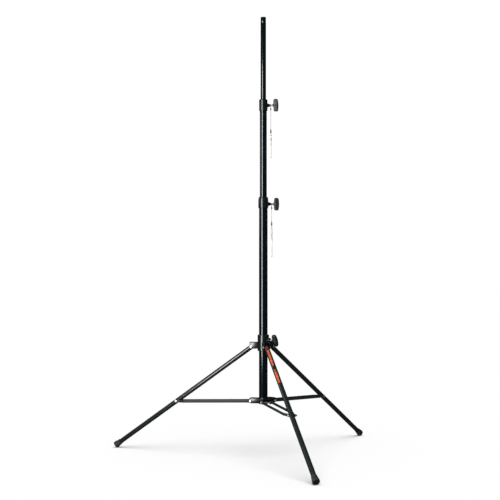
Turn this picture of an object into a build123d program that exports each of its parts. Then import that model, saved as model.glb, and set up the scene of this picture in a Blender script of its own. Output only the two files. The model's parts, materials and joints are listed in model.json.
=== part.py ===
"""Telescopic lighting stand: a three-section mast on a folding tripod, with three clamp knobs.

Millimetres, +Z up. The origin is on the mast's axis at floor level, and the front leg points to -Y.
Pieces that face one way are drawn in a radial frame (x outward, y sideways, z up) and then turned
to their azimuth, which is counted from the front leg towards +X.
"""

from build123d import *
from math import asin, cos, degrees, radians, sin, sqrt, tan
import os

# ---------------------------------------------------------------- driving dimensions
# Mast: each tube's bore follows from the tube inside it and the bush between them.
top_tube_radius = 17.5
top_tube_wall = 2.0
top_tube_length = 1137.0
upper_bush_wall = 3.0
middle_tube_wall = 2.0
middle_tube_length = 1186.0
middle_bush_wall = 2.5
lower_tube_wall = 2.5
lower_tube_length = 1294.0
middle_tube_raised = 632.0  # from the lower tube's top end to the middle tube's top end
top_tube_raised = 543.0  # from the middle tube's top end to the top tube's top end
running_clearance = 0.05  # radial, between a sliding tube or a turning pin and its hole
guide_length = 82.0
spigot_length = 36.0  # turned top end of the mast, above a ring groove
spigot_relief = 0.25  # the spigot's radius is this much under the tube's
ring_mark_depth = 0.4
ring_mark_width = 1.6
cap_head_height = 4.0
cap_insert_depth = 25.0

# Locking-pin holes across the two sliding tubes
pin_hole_radius = 4.0
pin_hole_spacing = 250.0
pin_hole_azimuth = 100.0
pin_hole_above_collar = 8.0

# Collars that hold the clamp screws
upper_collar_wall = 4.5
upper_collar_height = 72.0
upper_collar_above_tube = 14.0
upper_collar_chamfer = 4.0
middle_collar_wall = 4.5
middle_collar_height = 70.0
middle_collar_above_tube = 18.0
middle_collar_shoulder = 16.0
collar_lip = 0.7  # radial gap between a collar's mouth and the tube that slides in it
collar_edge = 1.5

# Clamp screws, shoes and knobs
screw_radius = 5.0
shoe_radius = 6.0
shoe_thickness = 3.0
shoe_gap = 0.35  # between a shoe and the tube that it presses on
shoe_pocket_gap = 0.3
clamp_travel = 1.5
boss_base_radius = 17.0
boss_tip_radius = 7.5
boss_reach = 18.2
hub_boss_radius = 16.5
hub_boss_reach = 13.0
knob_stand_off = 16.0
knob_cone_length = 6.0
knob_cone_radius = 8.5
knob_depth = 36.0
knob_length = 80.0
knob_width = 20.0
knob_centre_radius = 14.0
knob_crown = 4.0
knob_corner = 5.0  # rounding of the wing's corners seen from the side
knob_tip = 6.0  # rounding of the wing's corners seen along the screw
knob_insert_depth = 22.0
upper_knob_azimuth = 64.0
middle_knob_azimuth = 86.0
hub_knob_azimuth = 44.0
upper_knob_turn = 12.0
middle_knob_turn = 0.0
hub_knob_turn = 28.0
upper_knob_drop = 25.0  # screw below the tube's top end
middle_knob_drop = 26.0

# Leg hub, which slides on the lower tube
hub_liner_wall = 1.95
hub_wall = 7.0
hub_below_pivot = 26.0
hub_above_pivot = 77.0
hub_edge = 3.0
hub_knob_above_pivot = 41.0
pivot_stand_off = 39.5  # from the hub's outer face to the leg's pivot
leg_side_gap = 2.0  # between the leg and each side plate of its bracket
leg_bracket_plate = 4.0
leg_bracket_top = 30.5
bracket_eye_radius = 11.5
bolt_radius = 4.0
bolt_head_radius = 6.8
bolt_head_height = 5.3
nut_radius = 7.5
nut_height = 6.5
bolt_tip = 3.0

# Legs
leg_radius = 15.0
leg_wall = 1.5
leg_reach = 1135.0  # from the pivot to the end of the foot
leg_above_pivot = 18.0
leg_plug_flange = 2.5
leg_plug_depth = 9.0
leg_pin_distance = 618.0  # from the pivot to the brace's pin
leg_bush_radius = 7.0
pivot_bush_gap = 0.5
foot_length = 45.0
foot_top_radius = 16.8
foot_radius = 22.0
foot_edge = 6.0
foot_end_wall = 8.0
sole_flat = 1.0  # depth of the flat that rests on the floor

# Braces: pairs of flat strips that straddle the leg
brace_length = 503.0
brace_droop = 1.75  # degrees below level when the legs are spread
strip_height = 16.0
strip_thickness = 3.0
strip_gap = 0.5
strip_at_leg = 18.0  # strip's inner face at the leg, from the middle plane
joggle_start = 56.0  # back from the leg pin
joggle_end = 28.0
brace_nut_tip = 6.0

# Brace hub, fixed to the lower end of the lower tube
brace_hub_wall = 4.5
brace_hub_below_pivot = 12.5
brace_hub_above_pivot = 19.5
brace_arm_width = 58.0
brace_arm_plate = 3.5
brace_eye_radius = 11.0
end_plug_flange = 5.0
end_plug_depth = 25.0

# Lanyards with their locking pins
wire_radius = 1.0
wire_bow = (0.7, 0.4)  # outward and sideways, halfway down the wire
wire_bow_reach = 0.31  # from the middle of the wire to where the bow starts, as a share of its length
upper_lanyard_stand_off = 3.5  # from the boss's tip to the lanyard
middle_lanyard_stand_off = 4.7
lanyard_drop = 196.0  # from the screw's axis to the lower loop's end
upper_wire_end = 154.0
middle_wire_end = 113.0
ferrule_radius = 4.0
ferrule_top = 18.0
ferrule_length = 14.0
small_ferrule_radius = 4.2
loop_half_width = 7.0
lower_loop_half_width = 4.7
loop_leg_spread = 1.3
loop_leg_run = 4.0  # straight part of a loop's legs outside the ferrule
screw_loop_spread = 4.0  # from the screw's axis down to where its loop is full width
pin_loop_spread = 11.0  # from the pin loop's end up to where it is full width
loop_gap = 0.3  # between a loop and the screw or the ring that it holds
screw_loop_bends = [4.0, 5.0, 6.5, 6.5, 5.0, 4.0]  # radii, from one leg of the loop to the other
pin_loop_bends = [4.0, 8.0, 4.4, 4.4, 8.0, 4.0]
ferrule_chamfer = 0.8
ring_radius = 4.5
ring_wire_radius = 0.6
pin_radius = 3.3
pin_length = 109.0
pin_head_radius = 4.75
pin_head_length = 24.5
pin_tab_thickness = 3.0
pin_tab_width = 8.0
pin_tab_hole_radius = 2.25
pin_tab_edge = 1.8  # metal above the tab's hole
pin_tab_shoulder = 1.0  # metal below the tab's hole
pin_tip_chamfer = 1.5
pin_head_chamfer = 0.8
ring_play = 0.6  # between the ring and the top of the tab's hole

leg_azimuths = {"front": 0.0, "right": 120.0, "left": 240.0}

# ---------------------------------------------------------------- sizes that follow
middle_tube_bore = top_tube_radius + upper_bush_wall
middle_tube_radius = middle_tube_bore + middle_tube_wall
lower_tube_bore = middle_tube_radius + middle_bush_wall
lower_tube_radius = lower_tube_bore + lower_tube_wall
upper_collar_radius = middle_tube_radius + upper_collar_wall
middle_collar_radius = lower_tube_radius + middle_collar_wall
spigot_radius = top_tube_radius - spigot_relief
hub_bore = lower_tube_radius + running_clearance + hub_liner_wall
hub_radius = hub_bore + hub_wall
pivot_radius = hub_radius + pivot_stand_off
brace_hub_radius = lower_tube_radius + brace_hub_wall

# The spread legs: the brace's length and slope set the leg's angle from the mast.
leg_angle = degrees(asin(brace_length * cos(radians(brace_droop)) / leg_pin_distance))
pivots_apart = leg_pin_distance * cos(radians(leg_angle)) - brace_length * sin(radians(brace_droop))
foot_core_radius = foot_radius - foot_edge
foot_end_height = (
    foot_edge + foot_core_radius * sin(radians(leg_angle))
    - foot_edge * cos(radians(leg_angle)) - sole_flat
)
leg_pivot_height = foot_end_height + leg_reach * cos(radians(leg_angle))
brace_pivot_height = leg_pivot_height - pivots_apart

# Heights on the mast
mast_bottom = brace_pivot_height - brace_hub_below_pivot
lower_tube_top = mast_bottom + lower_tube_length
middle_tube_top = lower_tube_top + middle_tube_raised
middle_tube_bottom = middle_tube_top - middle_tube_length
top_tube_top = middle_tube_top + top_tube_raised
top_tube_bottom = top_tube_top - top_tube_length
upper_collar_top = middle_tube_top + upper_collar_above_tube
upper_collar_bottom = upper_collar_top - upper_collar_height
middle_collar_top = lower_tube_top + middle_collar_above_tube
middle_collar_bottom = middle_collar_top - middle_collar_height
hub_bottom = leg_pivot_height - hub_below_pivot
hub_top = leg_pivot_height + hub_above_pivot
upper_knob_height = middle_tube_top - upper_knob_drop
middle_knob_height = lower_tube_top - middle_knob_drop
hub_knob_height = leg_pivot_height + hub_knob_above_pivot

# Bolts and strips, measured sideways from a leg's middle plane
bracket_inner = leg_radius + leg_side_gap
bracket_outer = bracket_inner + leg_bracket_plate
brace_arm_outer = brace_arm_width / 2
strip_at_hub = brace_arm_outer + strip_gap
hub_bolt_seat = strip_at_hub + strip_thickness + strip_gap

UPRIGHT = (Align.CENTER, Align.CENTER, Align.MIN)


# ---------------------------------------------------------------- helpers
def toward(azimuth):
    """Turns a piece from the radial frame to its azimuth."""
    return Rot(0, 0, azimuth - 90)


def tube(outer, inner, low, high):
    """Tube about the mast's axis."""
    length = high - low
    return Pos(0, 0, low) * (Cylinder(outer, length, align=UPRIGHT) - Cylinder(inner, length, align=UPRIGHT))


def radial_rod(radius, start, end, height):
    """Round rod that points outward."""
    return Pos(start, 0, height) * Rot(0, 90, 0) * Cylinder(radius, end - start, align=UPRIGHT)


def cross_rod(radius, start, end, x=0.0, z=0.0):
    """Round rod that runs sideways."""
    return Pos(x, start, z) * Rot(-90, 0, 0) * Cylinder(radius, end - start, align=UPRIGHT)


def hexagon(radius, start, end, x=0.0, z=0.0):
    """Hexagonal nut that lies sideways."""
    nut = extrude(RegularPolygon(radius, 6), end - start)
    return Pos(x, start, z) * Rot(-90, 0, 0) * nut


def turned(points):
    """Solid of revolution about Z from (radius, height) points."""
    return revolve(Plane.XZ * make_face(Polyline(*points, close=True)), Axis.Z)


def plate(outline, low, high):
    """Plate with an outline in the radial plane, between two sideways offsets."""
    return Pos(0, high, 0) * extrude(Plane.XZ * outline, high - low)


def wire(points, radii, radius):
    """Round wire along straight runs joined by tangent arcs."""
    path = FilletPolyline(*points, radius=radii)
    section = Plane(origin=path @ 0, z_dir=path % 0) * Circle(radius)
    return sweep(section, path=path)


def save(name, *solids):
    """Writes one node: a single solid, or a group of separate ones."""
    shape = solids[0] if len(solids) == 1 else Compound(children=list(solids))
    export_step(shape, f"parts/{name}.step")


# ---------------------------------------------------------------- mast
def pin_holes(first, azimuth, reach):
    """Three cross holes for a locking pin: one at the first height, one above and one below."""
    heights = [first - pin_hole_spacing, first, first + pin_hole_spacing]
    return [toward(azimuth) * radial_rod(pin_hole_radius, -reach, reach, z) for z in heights]


def shoe_hole(azimuth, height, reach):
    """Hole through a tube or a bush in which a clamp shoe moves."""
    return toward(azimuth) * radial_rod(shoe_radius + shoe_pocket_gap, 0, reach, height)


def screw_thread_hole(azimuth, height, reach):
    """Hole in which a clamp screw turns."""
    return toward(azimuth) * radial_rod(screw_radius + running_clearance, 0, reach, height)


def lower_tube():
    body = tube(lower_tube_radius, lower_tube_bore, mast_bottom, lower_tube_top)
    return body - shoe_hole(middle_knob_azimuth, middle_knob_height, middle_collar_radius)


def middle_tube():
    body = tube(middle_tube_radius, middle_tube_bore, middle_tube_bottom, middle_tube_top)
    body -= shoe_hole(upper_knob_azimuth, upper_knob_height, upper_collar_radius)
    first = middle_collar_top + pin_hole_above_collar
    return body - pin_holes(first, pin_hole_azimuth, middle_tube_radius + 1)


def top_tube():
    body = tube(top_tube_radius, top_tube_radius - top_tube_wall, top_tube_bottom, top_tube_top)
    mark = top_tube_top - spigot_length
    body -= tube(top_tube_radius + 1, spigot_radius, mark, top_tube_top)
    body -= tube(top_tube_radius + 1, top_tube_radius - ring_mark_depth, mark - ring_mark_width, mark)
    first = upper_collar_top + pin_hole_above_collar
    return body - pin_holes(first, pin_hole_azimuth, top_tube_radius + 1)


def top_cap():
    bore = top_tube_radius - top_tube_wall
    bevel = cap_head_height / 2
    return turned([
        (0, top_tube_top - cap_insert_depth),
        (bore, top_tube_top - cap_insert_depth),
        (bore, top_tube_top),
        (spigot_radius, top_tube_top),
        (spigot_radius, top_tube_top + cap_head_height - bevel),
        (spigot_radius - bevel, top_tube_top + cap_head_height),
        (0, top_tube_top + cap_head_height),
    ])


def tube_guide(tube_radius, bore, low):
    """Plastic sleeve on the lower end of a sliding tube."""
    return tube(bore - running_clearance, tube_radius, low, low + guide_length)


def collar_bush(sliding_radius, bore, rim_radius, low, tube_top, collar_top, azimuth, height):
    """Flanged bush between a fixed tube's top end and the tube that slides in it."""
    rim = (tube_top + collar_top) / 2
    inside = sliding_radius + running_clearance
    body = turned([(inside, low), (bore, low), (bore, tube_top), (rim_radius, tube_top),
                   (rim_radius, rim), (inside, rim)])
    return body - shoe_hole(azimuth, height, rim_radius + 5)


def upper_bush():
    return collar_bush(top_tube_radius, middle_tube_bore, middle_tube_radius, upper_collar_bottom,
                       middle_tube_top, upper_collar_top, upper_knob_azimuth, upper_knob_height)


def middle_bush():
    return collar_bush(middle_tube_radius, lower_tube_bore, lower_tube_radius, middle_collar_bottom,
                       lower_tube_top, middle_collar_top, middle_knob_azimuth, middle_knob_height)


def screw_boss(collar_radius, height):
    """Conical boss round a clamp screw, in the radial frame."""
    boss = Cone(boss_base_radius, boss_tip_radius, boss_reach + boss_base_radius / 2, align=UPRIGHT)
    start = collar_radius - boss_base_radius / 2
    return Pos(start, 0, height) * Rot(0, 90, 0) * boss


def shoe_pocket(bore, height):
    """Room behind the shoe for the clamp's travel, in the radial frame."""
    depth = shoe_thickness + shoe_gap + clamp_travel + shoe_pocket_gap
    return radial_rod(shoe_radius + shoe_pocket_gap, 0, bore + depth, height)


def upper_collar():
    rim = (middle_tube_top + upper_collar_top) / 2
    outline = [
        (0, upper_collar_bottom),
        (upper_collar_radius - collar_edge, upper_collar_bottom),
        (upper_collar_radius, upper_collar_bottom + collar_edge),
        (upper_collar_radius, upper_collar_top - upper_collar_chamfer),
        (upper_collar_radius - upper_collar_chamfer, upper_collar_top),
        (0, upper_collar_top),
    ]
    return bored_collar(outline, middle_tube_radius, top_tube_radius + collar_lip, rim,
                        upper_collar_radius, upper_knob_azimuth, upper_knob_height, top_tube_radius)


def middle_collar():
    rim = (lower_tube_top + middle_collar_top) / 2
    mouth = middle_tube_radius + collar_lip
    outline = [
        (0, middle_collar_bottom),
        (middle_collar_radius - collar_edge, middle_collar_bottom),
        (middle_collar_radius, middle_collar_bottom + collar_edge),
        (middle_collar_radius, middle_collar_top - middle_collar_shoulder),
        (lower_tube_radius + collar_edge, middle_collar_top - collar_edge),
        (mouth + 2 * collar_edge, middle_collar_top),
        (0, middle_collar_top),
    ]
    return bored_collar(outline, lower_tube_radius, mouth, rim,
                        middle_collar_radius, middle_knob_azimuth, middle_knob_height, middle_tube_radius)


def bored_collar(outline, bore, mouth, rim, radius, azimuth, knob_height, clamped_radius):
    """Collar turned to its outline, with a screw boss, a bore for the fixed tube and a mouth."""
    low = outline[0][1]
    body = turned(outline) + toward(azimuth) * screw_boss(radius, knob_height)
    body -= Pos(0, 0, low) * Cylinder(bore, rim - low, align=UPRIGHT)
    body -= Pos(0, 0, low) * Cylinder(mouth, outline[-1][1] - low, align=UPRIGHT)
    body -= toward(azimuth) * shoe_pocket(clamped_radius, knob_height)
    return body - screw_thread_hole(azimuth, knob_height, 2 * radius)


def end_plug():
    return turned([
        (0, mast_bottom - end_plug_flange),
        (lower_tube_radius - collar_edge, mast_bottom - end_plug_flange),
        (lower_tube_radius, mast_bottom - end_plug_flange + collar_edge),
        (lower_tube_radius, mast_bottom),
        (lower_tube_bore, mast_bottom),
        (lower_tube_bore, mast_bottom + end_plug_depth),
        (0, mast_bottom + end_plug_depth),
    ])


# ---------------------------------------------------------------- hubs
def eyed_outline(start, low, high, eye_radius, pivot_height):
    """Side of a bracket arm: a plate with a rounded eye about the pivot."""
    body = make_face(Polyline(
        (start, pivot_height + low),
        (pivot_radius, pivot_height - eye_radius),
        (pivot_radius + eye_radius, pivot_height),
        (pivot_radius + 0.8 * eye_radius, pivot_height + high),
        (start, pivot_height + high),
        close=True,
    ))
    return body + Pos(pivot_radius, pivot_height) * Circle(eye_radius)


def leg_hub_sleeve():
    body = turned([
        (hub_bore, hub_bottom),
        (hub_radius - hub_edge, hub_bottom),
        (hub_radius, hub_bottom + hub_edge),
        (hub_radius, hub_top - hub_edge / 2),
        (hub_radius - hub_edge / 2, hub_top),
        (hub_bore, hub_top),
    ])
    root = hub_bore + hub_wall / 2
    side = eyed_outline(root, -bracket_eye_radius, leg_bracket_top, bracket_eye_radius, leg_pivot_height)
    tongue = pivot_radius + 0.8 * bracket_eye_radius - root
    web_low = leg_pivot_height + leg_bracket_top - leg_bracket_plate
    web = Box(tongue, 2 * bracket_inner, leg_bracket_plate, align=UPRIGHT)
    web = Pos(root + tongue / 2, 0, web_low) * web
    hole = cross_rod(bolt_radius, -bracket_outer, bracket_outer, pivot_radius, leg_pivot_height)
    bracket = plate(side, bracket_inner, bracket_outer) + plate(side, -bracket_outer, -bracket_inner)
    bracket = bracket + web - hole
    for azimuth in leg_azimuths.values():
        body += toward(azimuth) * bracket
    boss = radial_rod(hub_boss_radius, root, hub_radius + hub_boss_reach, hub_knob_height)
    body += toward(hub_knob_azimuth) * boss
    body -= Pos(0, 0, hub_bottom) * Cylinder(hub_bore, hub_top - hub_bottom, align=UPRIGHT)
    body -= toward(hub_knob_azimuth) * shoe_pocket(lower_tube_radius, hub_knob_height)
    return body - screw_thread_hole(hub_knob_azimuth, hub_knob_height, 2 * hub_radius)


def leg_hub_liner():
    body = tube(hub_bore, lower_tube_radius + running_clearance, hub_bottom, hub_top)
    return body - shoe_hole(hub_knob_azimuth, hub_knob_height, hub_radius)


def brace_hub():
    top = brace_pivot_height + brace_hub_above_pivot
    height = top - mast_bottom
    side = eyed_outline(0, -brace_hub_below_pivot, brace_hub_above_pivot, brace_eye_radius,
                        brace_pivot_height)
    arm = plate(side, -brace_arm_outer, brace_arm_outer)
    pocket_half = brace_arm_outer - brace_arm_plate
    pocket_start = brace_arm_outer / sin(radians(60))
    pocket = Pos(pocket_start, 0, mast_bottom - 1) * Box(
        2 * pivot_radius, 2 * pocket_half, height + 1 - brace_arm_plate,
        align=(Align.MIN, Align.CENTER, Align.MIN),
    )
    hole = cross_rod(bolt_radius, -brace_arm_outer, brace_arm_outer, pivot_radius, brace_pivot_height)
    body = Pos(0, 0, mast_bottom) * Cylinder(brace_hub_radius, height, align=UPRIGHT)
    for azimuth in leg_azimuths.values():
        body += toward(azimuth) * arm
    for azimuth in leg_azimuths.values():
        body -= toward(azimuth) * (pocket + hole)
    return body - Pos(0, 0, mast_bottom) * Cylinder(lower_tube_radius, height, align=UPRIGHT)


def through_bolt(seat, height):
    """Bolt with its nut across a bracket, in the radial frame."""
    bolt = cross_rod(bolt_radius, -seat - nut_height - bolt_tip, seat, pivot_radius, height)
    bolt += cross_rod(bolt_head_radius, seat, seat + bolt_head_height, pivot_radius, height)
    return bolt + hexagon(nut_radius, -seat - nut_height, -seat, pivot_radius, height)


# ---------------------------------------------------------------- clamp screws and knobs
def clamp_shoe(clamped_radius, height):
    """Shoe that presses on the tube, hollowed to the tube's curve."""
    front = clamped_radius + shoe_gap
    back = front + shoe_thickness
    body = radial_rod(shoe_radius, 0, back, height)
    return body - Pos(0, 0, height - 2 * shoe_radius) * Cylinder(front, 4 * shoe_radius, align=UPRIGHT)


def clamp_screw(clamped_radius, knob_start, height):
    start = clamped_radius + shoe_gap + shoe_thickness
    return radial_rod(screw_radius, start, knob_start + knob_insert_depth, height)


def knob_grip():
    """Wing knob about the x axis, with its inner end at x = 0 and its wing upright."""
    half = knob_length / 2
    inner = knob_cone_length
    side = make_face(
        Polyline((knob_depth - knob_crown, half), (inner, half), (inner, -half),
                 (knob_depth - knob_crown, -half))
        + ThreePointArc((knob_depth - knob_crown, -half), (knob_depth, 0), (knob_depth - knob_crown, half))
    )
    side = fillet(side.vertices(), knob_corner)
    wing = plate(side, -knob_centre_radius, knob_centre_radius)
    outline = Rectangle(knob_width, knob_length) + Circle(knob_centre_radius)
    outline = fillet(outline.vertices(), knob_tip)
    wing &= extrude(Plane.YZ * outline, knob_depth)
    cone = Cone(knob_cone_radius, knob_centre_radius - 1, knob_cone_length + 2, align=UPRIGHT)
    cone = Rot(0, 90, 0) * cone
    return wing + cone - radial_rod(screw_radius, 0, knob_insert_depth, 0)


# ---------------------------------------------------------------- legs and braces
def on_leg(azimuth):
    """Moves a piece drawn on a hanging leg, with its pivot at the origin, to the spread leg."""
    return toward(azimuth) * Pos(pivot_radius, 0, leg_pivot_height) * Rot(0, -leg_angle, 0)


def on_brace(azimuth):
    """Moves a piece drawn on a level brace, with its hub pivot at the origin, to its place."""
    return toward(azimuth) * Pos(pivot_radius, 0, brace_pivot_height) * Rot(0, brace_droop, 0)


def leg_tube():
    end = leg_reach - foot_end_wall
    body = tube(leg_radius, leg_radius - leg_wall, -end, leg_above_pivot)
    for z in (0, -leg_pin_distance):
        body -= cross_rod(leg_bush_radius, -2 * leg_radius, 2 * leg_radius, 0, z)
    return body


def leg_bushes():
    halves = {0: bracket_inner - pivot_bush_gap, -leg_pin_distance: strip_at_leg - strip_gap}
    return [
        cross_rod(leg_bush_radius, -half, half, 0, z)
        - cross_rod(bolt_radius + running_clearance, -half, half, 0, z)
        for z, half in halves.items()
    ]


def leg_plug():
    bore = leg_radius - leg_wall
    top = leg_above_pivot + leg_plug_flange
    return turned([
        (0, leg_above_pivot - leg_plug_depth),
        (bore, leg_above_pivot - leg_plug_depth),
        (bore, leg_above_pivot),
        (leg_radius, leg_above_pivot),
        (leg_radius, top - 1),
        (leg_radius - 1, top),
        (0, top),
    ])


def foot():
    top = -leg_reach + foot_length
    half_outline = make_face(Polyline(
        (0, -leg_reach), (foot_radius, -leg_reach), (foot_radius, -leg_reach + 2 * foot_edge),
        (foot_top_radius, top), (0, top), close=True,
    ))
    corner = half_outline.vertices().sort_by_distance((foot_radius, -leg_reach))[0]
    body = revolve(Plane.XZ * fillet(corner, foot_edge), Axis.Z)
    socket = Cylinder(leg_radius, foot_length, align=UPRIGHT)
    return body - Pos(0, 0, -leg_reach + foot_end_wall) * socket


def brace_strip(side):
    """One strip: straight from the hub, then joggled in to the leg. side is 1 or -1."""
    step = strip_at_hub - strip_at_leg
    end = strip_height / 2
    bend_out, bend_in = brace_length - joggle_start, brace_length - joggle_end
    path = [(-end, 0), (bend_out, 0), (bend_in, -step), (brace_length + end, -step)]
    half_slope = asin(step / sqrt(step**2 + (bend_in - bend_out) ** 2)) / 2
    shift = strip_thickness * tan(half_slope)
    outer = [(-end, strip_thickness), (bend_out + shift, strip_thickness),
             (bend_in + shift, strip_thickness - step), (brace_length + end, strip_thickness - step)]
    profile = make_face(Polyline(*path, *reversed(outer), close=True))
    bar = Pos(0, strip_at_hub, -end) * extrude(profile, strip_height)
    ends = Pos(brace_length / 2, 0) * SlotCenterToCenter(brace_length, strip_height)
    bar &= plate(ends, 0, 2 * strip_at_hub)
    bar -= cross_rod(bolt_radius + running_clearance, 0, 2 * strip_at_hub)
    bar -= cross_rod(bolt_radius, 0, 2 * strip_at_hub, brace_length)
    return bar if side > 0 else mirror(bar, Plane.XZ)


def brace_bolt():
    """Head side and nut side of the bolt at the leg, which end at the strips' inner faces."""
    outer = strip_at_leg + strip_thickness
    nut_side = cross_rod(bolt_radius, strip_at_leg, outer + nut_height + brace_nut_tip, brace_length)
    nut_side += hexagon(nut_radius, outer, outer + nut_height, brace_length)
    head_side = cross_rod(bolt_radius, -outer, -strip_at_leg, brace_length)
    head_side += cross_rod(bolt_head_radius, -outer - bolt_head_height, -outer, brace_length)
    return nut_side, head_side


# ---------------------------------------------------------------- lanyards
def arc_radius(before, corner, after):
    """Largest arc that two runs allow at a corner."""
    first, last = Vector(*corner) - Vector(*before), Vector(*after) - Vector(*corner)
    half_turn = radians(first.get_angle(last)) / 2
    return 0.45 * min(first.length, last.length) / tan(half_turn)


def lanyard_wire(name, reach, wire_end):
    """Wire between the two ferrules, a little bowed, in the radial frame from the screw's axis."""
    top = ferrule_top + ferrule_length
    middle = (top + wire_end) / 2
    quarter = wire_bow_reach * (wire_end - top)
    outward, sideways = wire_bow
    points = [(reach, 0, -top), (reach, 0, -middle + quarter), (reach + outward, sideways, -middle),
              (reach, 0, -middle - quarter), (reach, 0, -wire_end)]
    radii = [arc_radius(*points[i - 1:i + 2]) for i in range(1, len(points) - 1)]
    solid = wire(points, radii, wire_radius)
    print(name, "arc radii", [round(r) for r in radii], "volume", round(solid.volume, 1))
    return solid


def screw_loop(reach):
    """Loop of wire that hangs on the clamp screw."""
    top = screw_radius + loop_gap + wire_radius
    half, leg = loop_half_width, loop_leg_spread
    bend = -ferrule_top + loop_leg_run
    side = [(leg, -ferrule_top), (leg, bend), (half, -screw_loop_spread), (half, top)]
    outline = side + [(-y, z) for y, z in reversed(side)]
    points = [(reach, y, z) for y, z in outline]
    return wire(points, screw_loop_bends, wire_radius)


def pin_loop(reach, wire_end):
    """Loop of wire below the small ferrule, which carries the pin's ring."""
    top = wire_end + ferrule_length
    half, leg = lower_loop_half_width, loop_leg_spread
    side = [(leg, -top), (leg, -top - loop_leg_run), (half, -lanyard_drop + pin_loop_spread),
            (half, -lanyard_drop)]
    outline = side + [(-x, z) for x, z in reversed(side)]
    points = [(reach + x, 0, z) for x, z in outline]
    return wire(points, pin_loop_bends, wire_radius)


def ferrules(reach, wire_end):
    tops = {ferrule_top: ferrule_radius, wire_end: small_ferrule_radius}
    pieces = []
    for top, radius in tops.items():
        sleeve = Cylinder(radius, ferrule_length, align=UPRIGHT)
        sleeve = chamfer(sleeve.edges().filter_by(GeomType.CIRCLE), ferrule_chamfer)
        pieces.append(Pos(reach, 0, -top - ferrule_length) * sleeve)
    return pieces


ring_drop = lanyard_drop + ring_radius - wire_radius - ring_wire_radius - loop_gap
ring_bottom = ring_drop + ring_radius


def pin_ring(reach):
    return Pos(reach, 0, -ring_drop) * Rot(0, 90, 0) * Torus(ring_radius, ring_wire_radius)


def locking_pin(reach):
    """Pin with a flat tab, hung by the ring through the tab's hole."""
    hole_drop = ring_bottom - ring_wire_radius - ring_play + pin_tab_hole_radius
    tab_top = hole_drop - pin_tab_hole_radius - pin_tab_edge
    head_top = hole_drop + pin_tab_hole_radius + pin_tab_shoulder
    tab = Pos(0, 0, -head_top - 1) * Box(
        pin_tab_width, pin_tab_thickness, head_top + 1 - tab_top, align=UPRIGHT)
    tab -= cross_rod(pin_tab_hole_radius, -pin_tab_thickness, pin_tab_thickness, 0, -hole_drop)
    head = Pos(0, 0, -head_top - pin_head_length) * Cylinder(pin_head_radius, pin_head_length, align=UPRIGHT)
    head = chamfer(head.edges().filter_by(GeomType.CIRCLE), pin_head_chamfer)
    shank = Pos(0, 0, -head_top - pin_head_length - pin_length) * Cylinder(
        pin_radius, pin_length, align=UPRIGHT)
    shank = chamfer(shank.edges().sort_by(Axis.Z)[0], pin_tip_chamfer)
    return Pos(reach, 0, 0) * (tab + head + shank)


# ---------------------------------------------------------------- the whole stand
os.makedirs("parts", exist_ok=True)

save("lower_tube", lower_tube())
save("lower_end_plug", end_plug())
save("middle_collar", middle_collar())
save("middle_collar_bush", middle_bush())
save("brace_hub", brace_hub())
save("middle_tube", middle_tube())
save("middle_tube_guide", tube_guide(middle_tube_radius, lower_tube_bore, middle_tube_bottom))
save("upper_collar", upper_collar())
save("upper_collar_bush", upper_bush())
save("top_tube", top_tube())
save("top_tube_guide", tube_guide(top_tube_radius, middle_tube_bore, top_tube_bottom))
save("top_cap", top_cap())
save("leg_hub_sleeve", leg_hub_sleeve())
save("leg_hub_liner", leg_hub_liner())

azimuths = leg_azimuths.values()
save("leg_pivot_bolts", *[toward(a) * through_bolt(bracket_outer, leg_pivot_height) for a in azimuths])
save("brace_hub_bolts", *[toward(a) * through_bolt(hub_bolt_seat, brace_pivot_height) for a in azimuths])

# Each clamp: the tube that it presses on, its height, azimuth, knob's turn, and its boss's end
clamps = {
    "upper": (top_tube_radius, upper_knob_height, upper_knob_azimuth, upper_knob_turn,
              upper_collar_radius + boss_reach),
    "middle": (middle_tube_radius, middle_knob_height, middle_knob_azimuth, middle_knob_turn,
               middle_collar_radius + boss_reach),
    "hub": (lower_tube_radius, hub_knob_height, hub_knob_azimuth, hub_knob_turn,
            hub_radius + hub_boss_reach),
}
for name, (clamped, height, azimuth, turn, boss_end) in clamps.items():
    knob_start = boss_end + knob_stand_off
    save(f"{name}_clamp_shoe", toward(azimuth) * clamp_shoe(clamped, height))
    save(f"{name}_clamp_screw", toward(azimuth) * clamp_screw(clamped, knob_start, height))
    save(f"{name}_knob", toward(azimuth) * Pos(knob_start, 0, height) * Rot(turn, 0, 0) * knob_grip())

floor_cut = Pos(0, 0, -50) * Box(4 * leg_reach, 4 * leg_reach, 50, align=UPRIGHT)
for name, azimuth in leg_azimuths.items():
    save(f"{name}_leg_tube", on_leg(azimuth) * leg_tube())
    save(f"{name}_leg_bushes", *[on_leg(azimuth) * bush for bush in leg_bushes()])
    save(f"{name}_leg_plug", on_leg(azimuth) * leg_plug())
    save(f"{name}_foot", on_leg(azimuth) * foot() - floor_cut)
    save(f"{name}_brace_strip_a", on_brace(azimuth) * brace_strip(1))
    save(f"{name}_brace_strip_b", on_brace(azimuth) * brace_strip(-1))
    save(f"{name}_brace_bolt", *[on_brace(azimuth) * part for part in brace_bolt()])

# Each lanyard: its distance from the mast's axis and where its straight wire ends
lanyards = {
    "upper": (clamps["upper"][4] + upper_lanyard_stand_off, upper_wire_end),
    "middle": (clamps["middle"][4] + middle_lanyard_stand_off, middle_wire_end),
}
for name, (reach, wire_end) in lanyards.items():
    place = toward(clamps[name][2]) * Pos(0, 0, clamps[name][1])
    save(f"{name}_lanyard_wire", place * lanyard_wire(name, reach, wire_end))
    save(f"{name}_lanyard_loops", place * screw_loop(reach), place * pin_loop(reach, wire_end))
    save(f"{name}_lanyard_ferrules", *[place * part for part in ferrules(reach, wire_end)])
    save(f"{name}_pin_ring", place * pin_ring(reach))
    save(f"{name}_locking_pin", place * locking_pin(reach))

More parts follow.
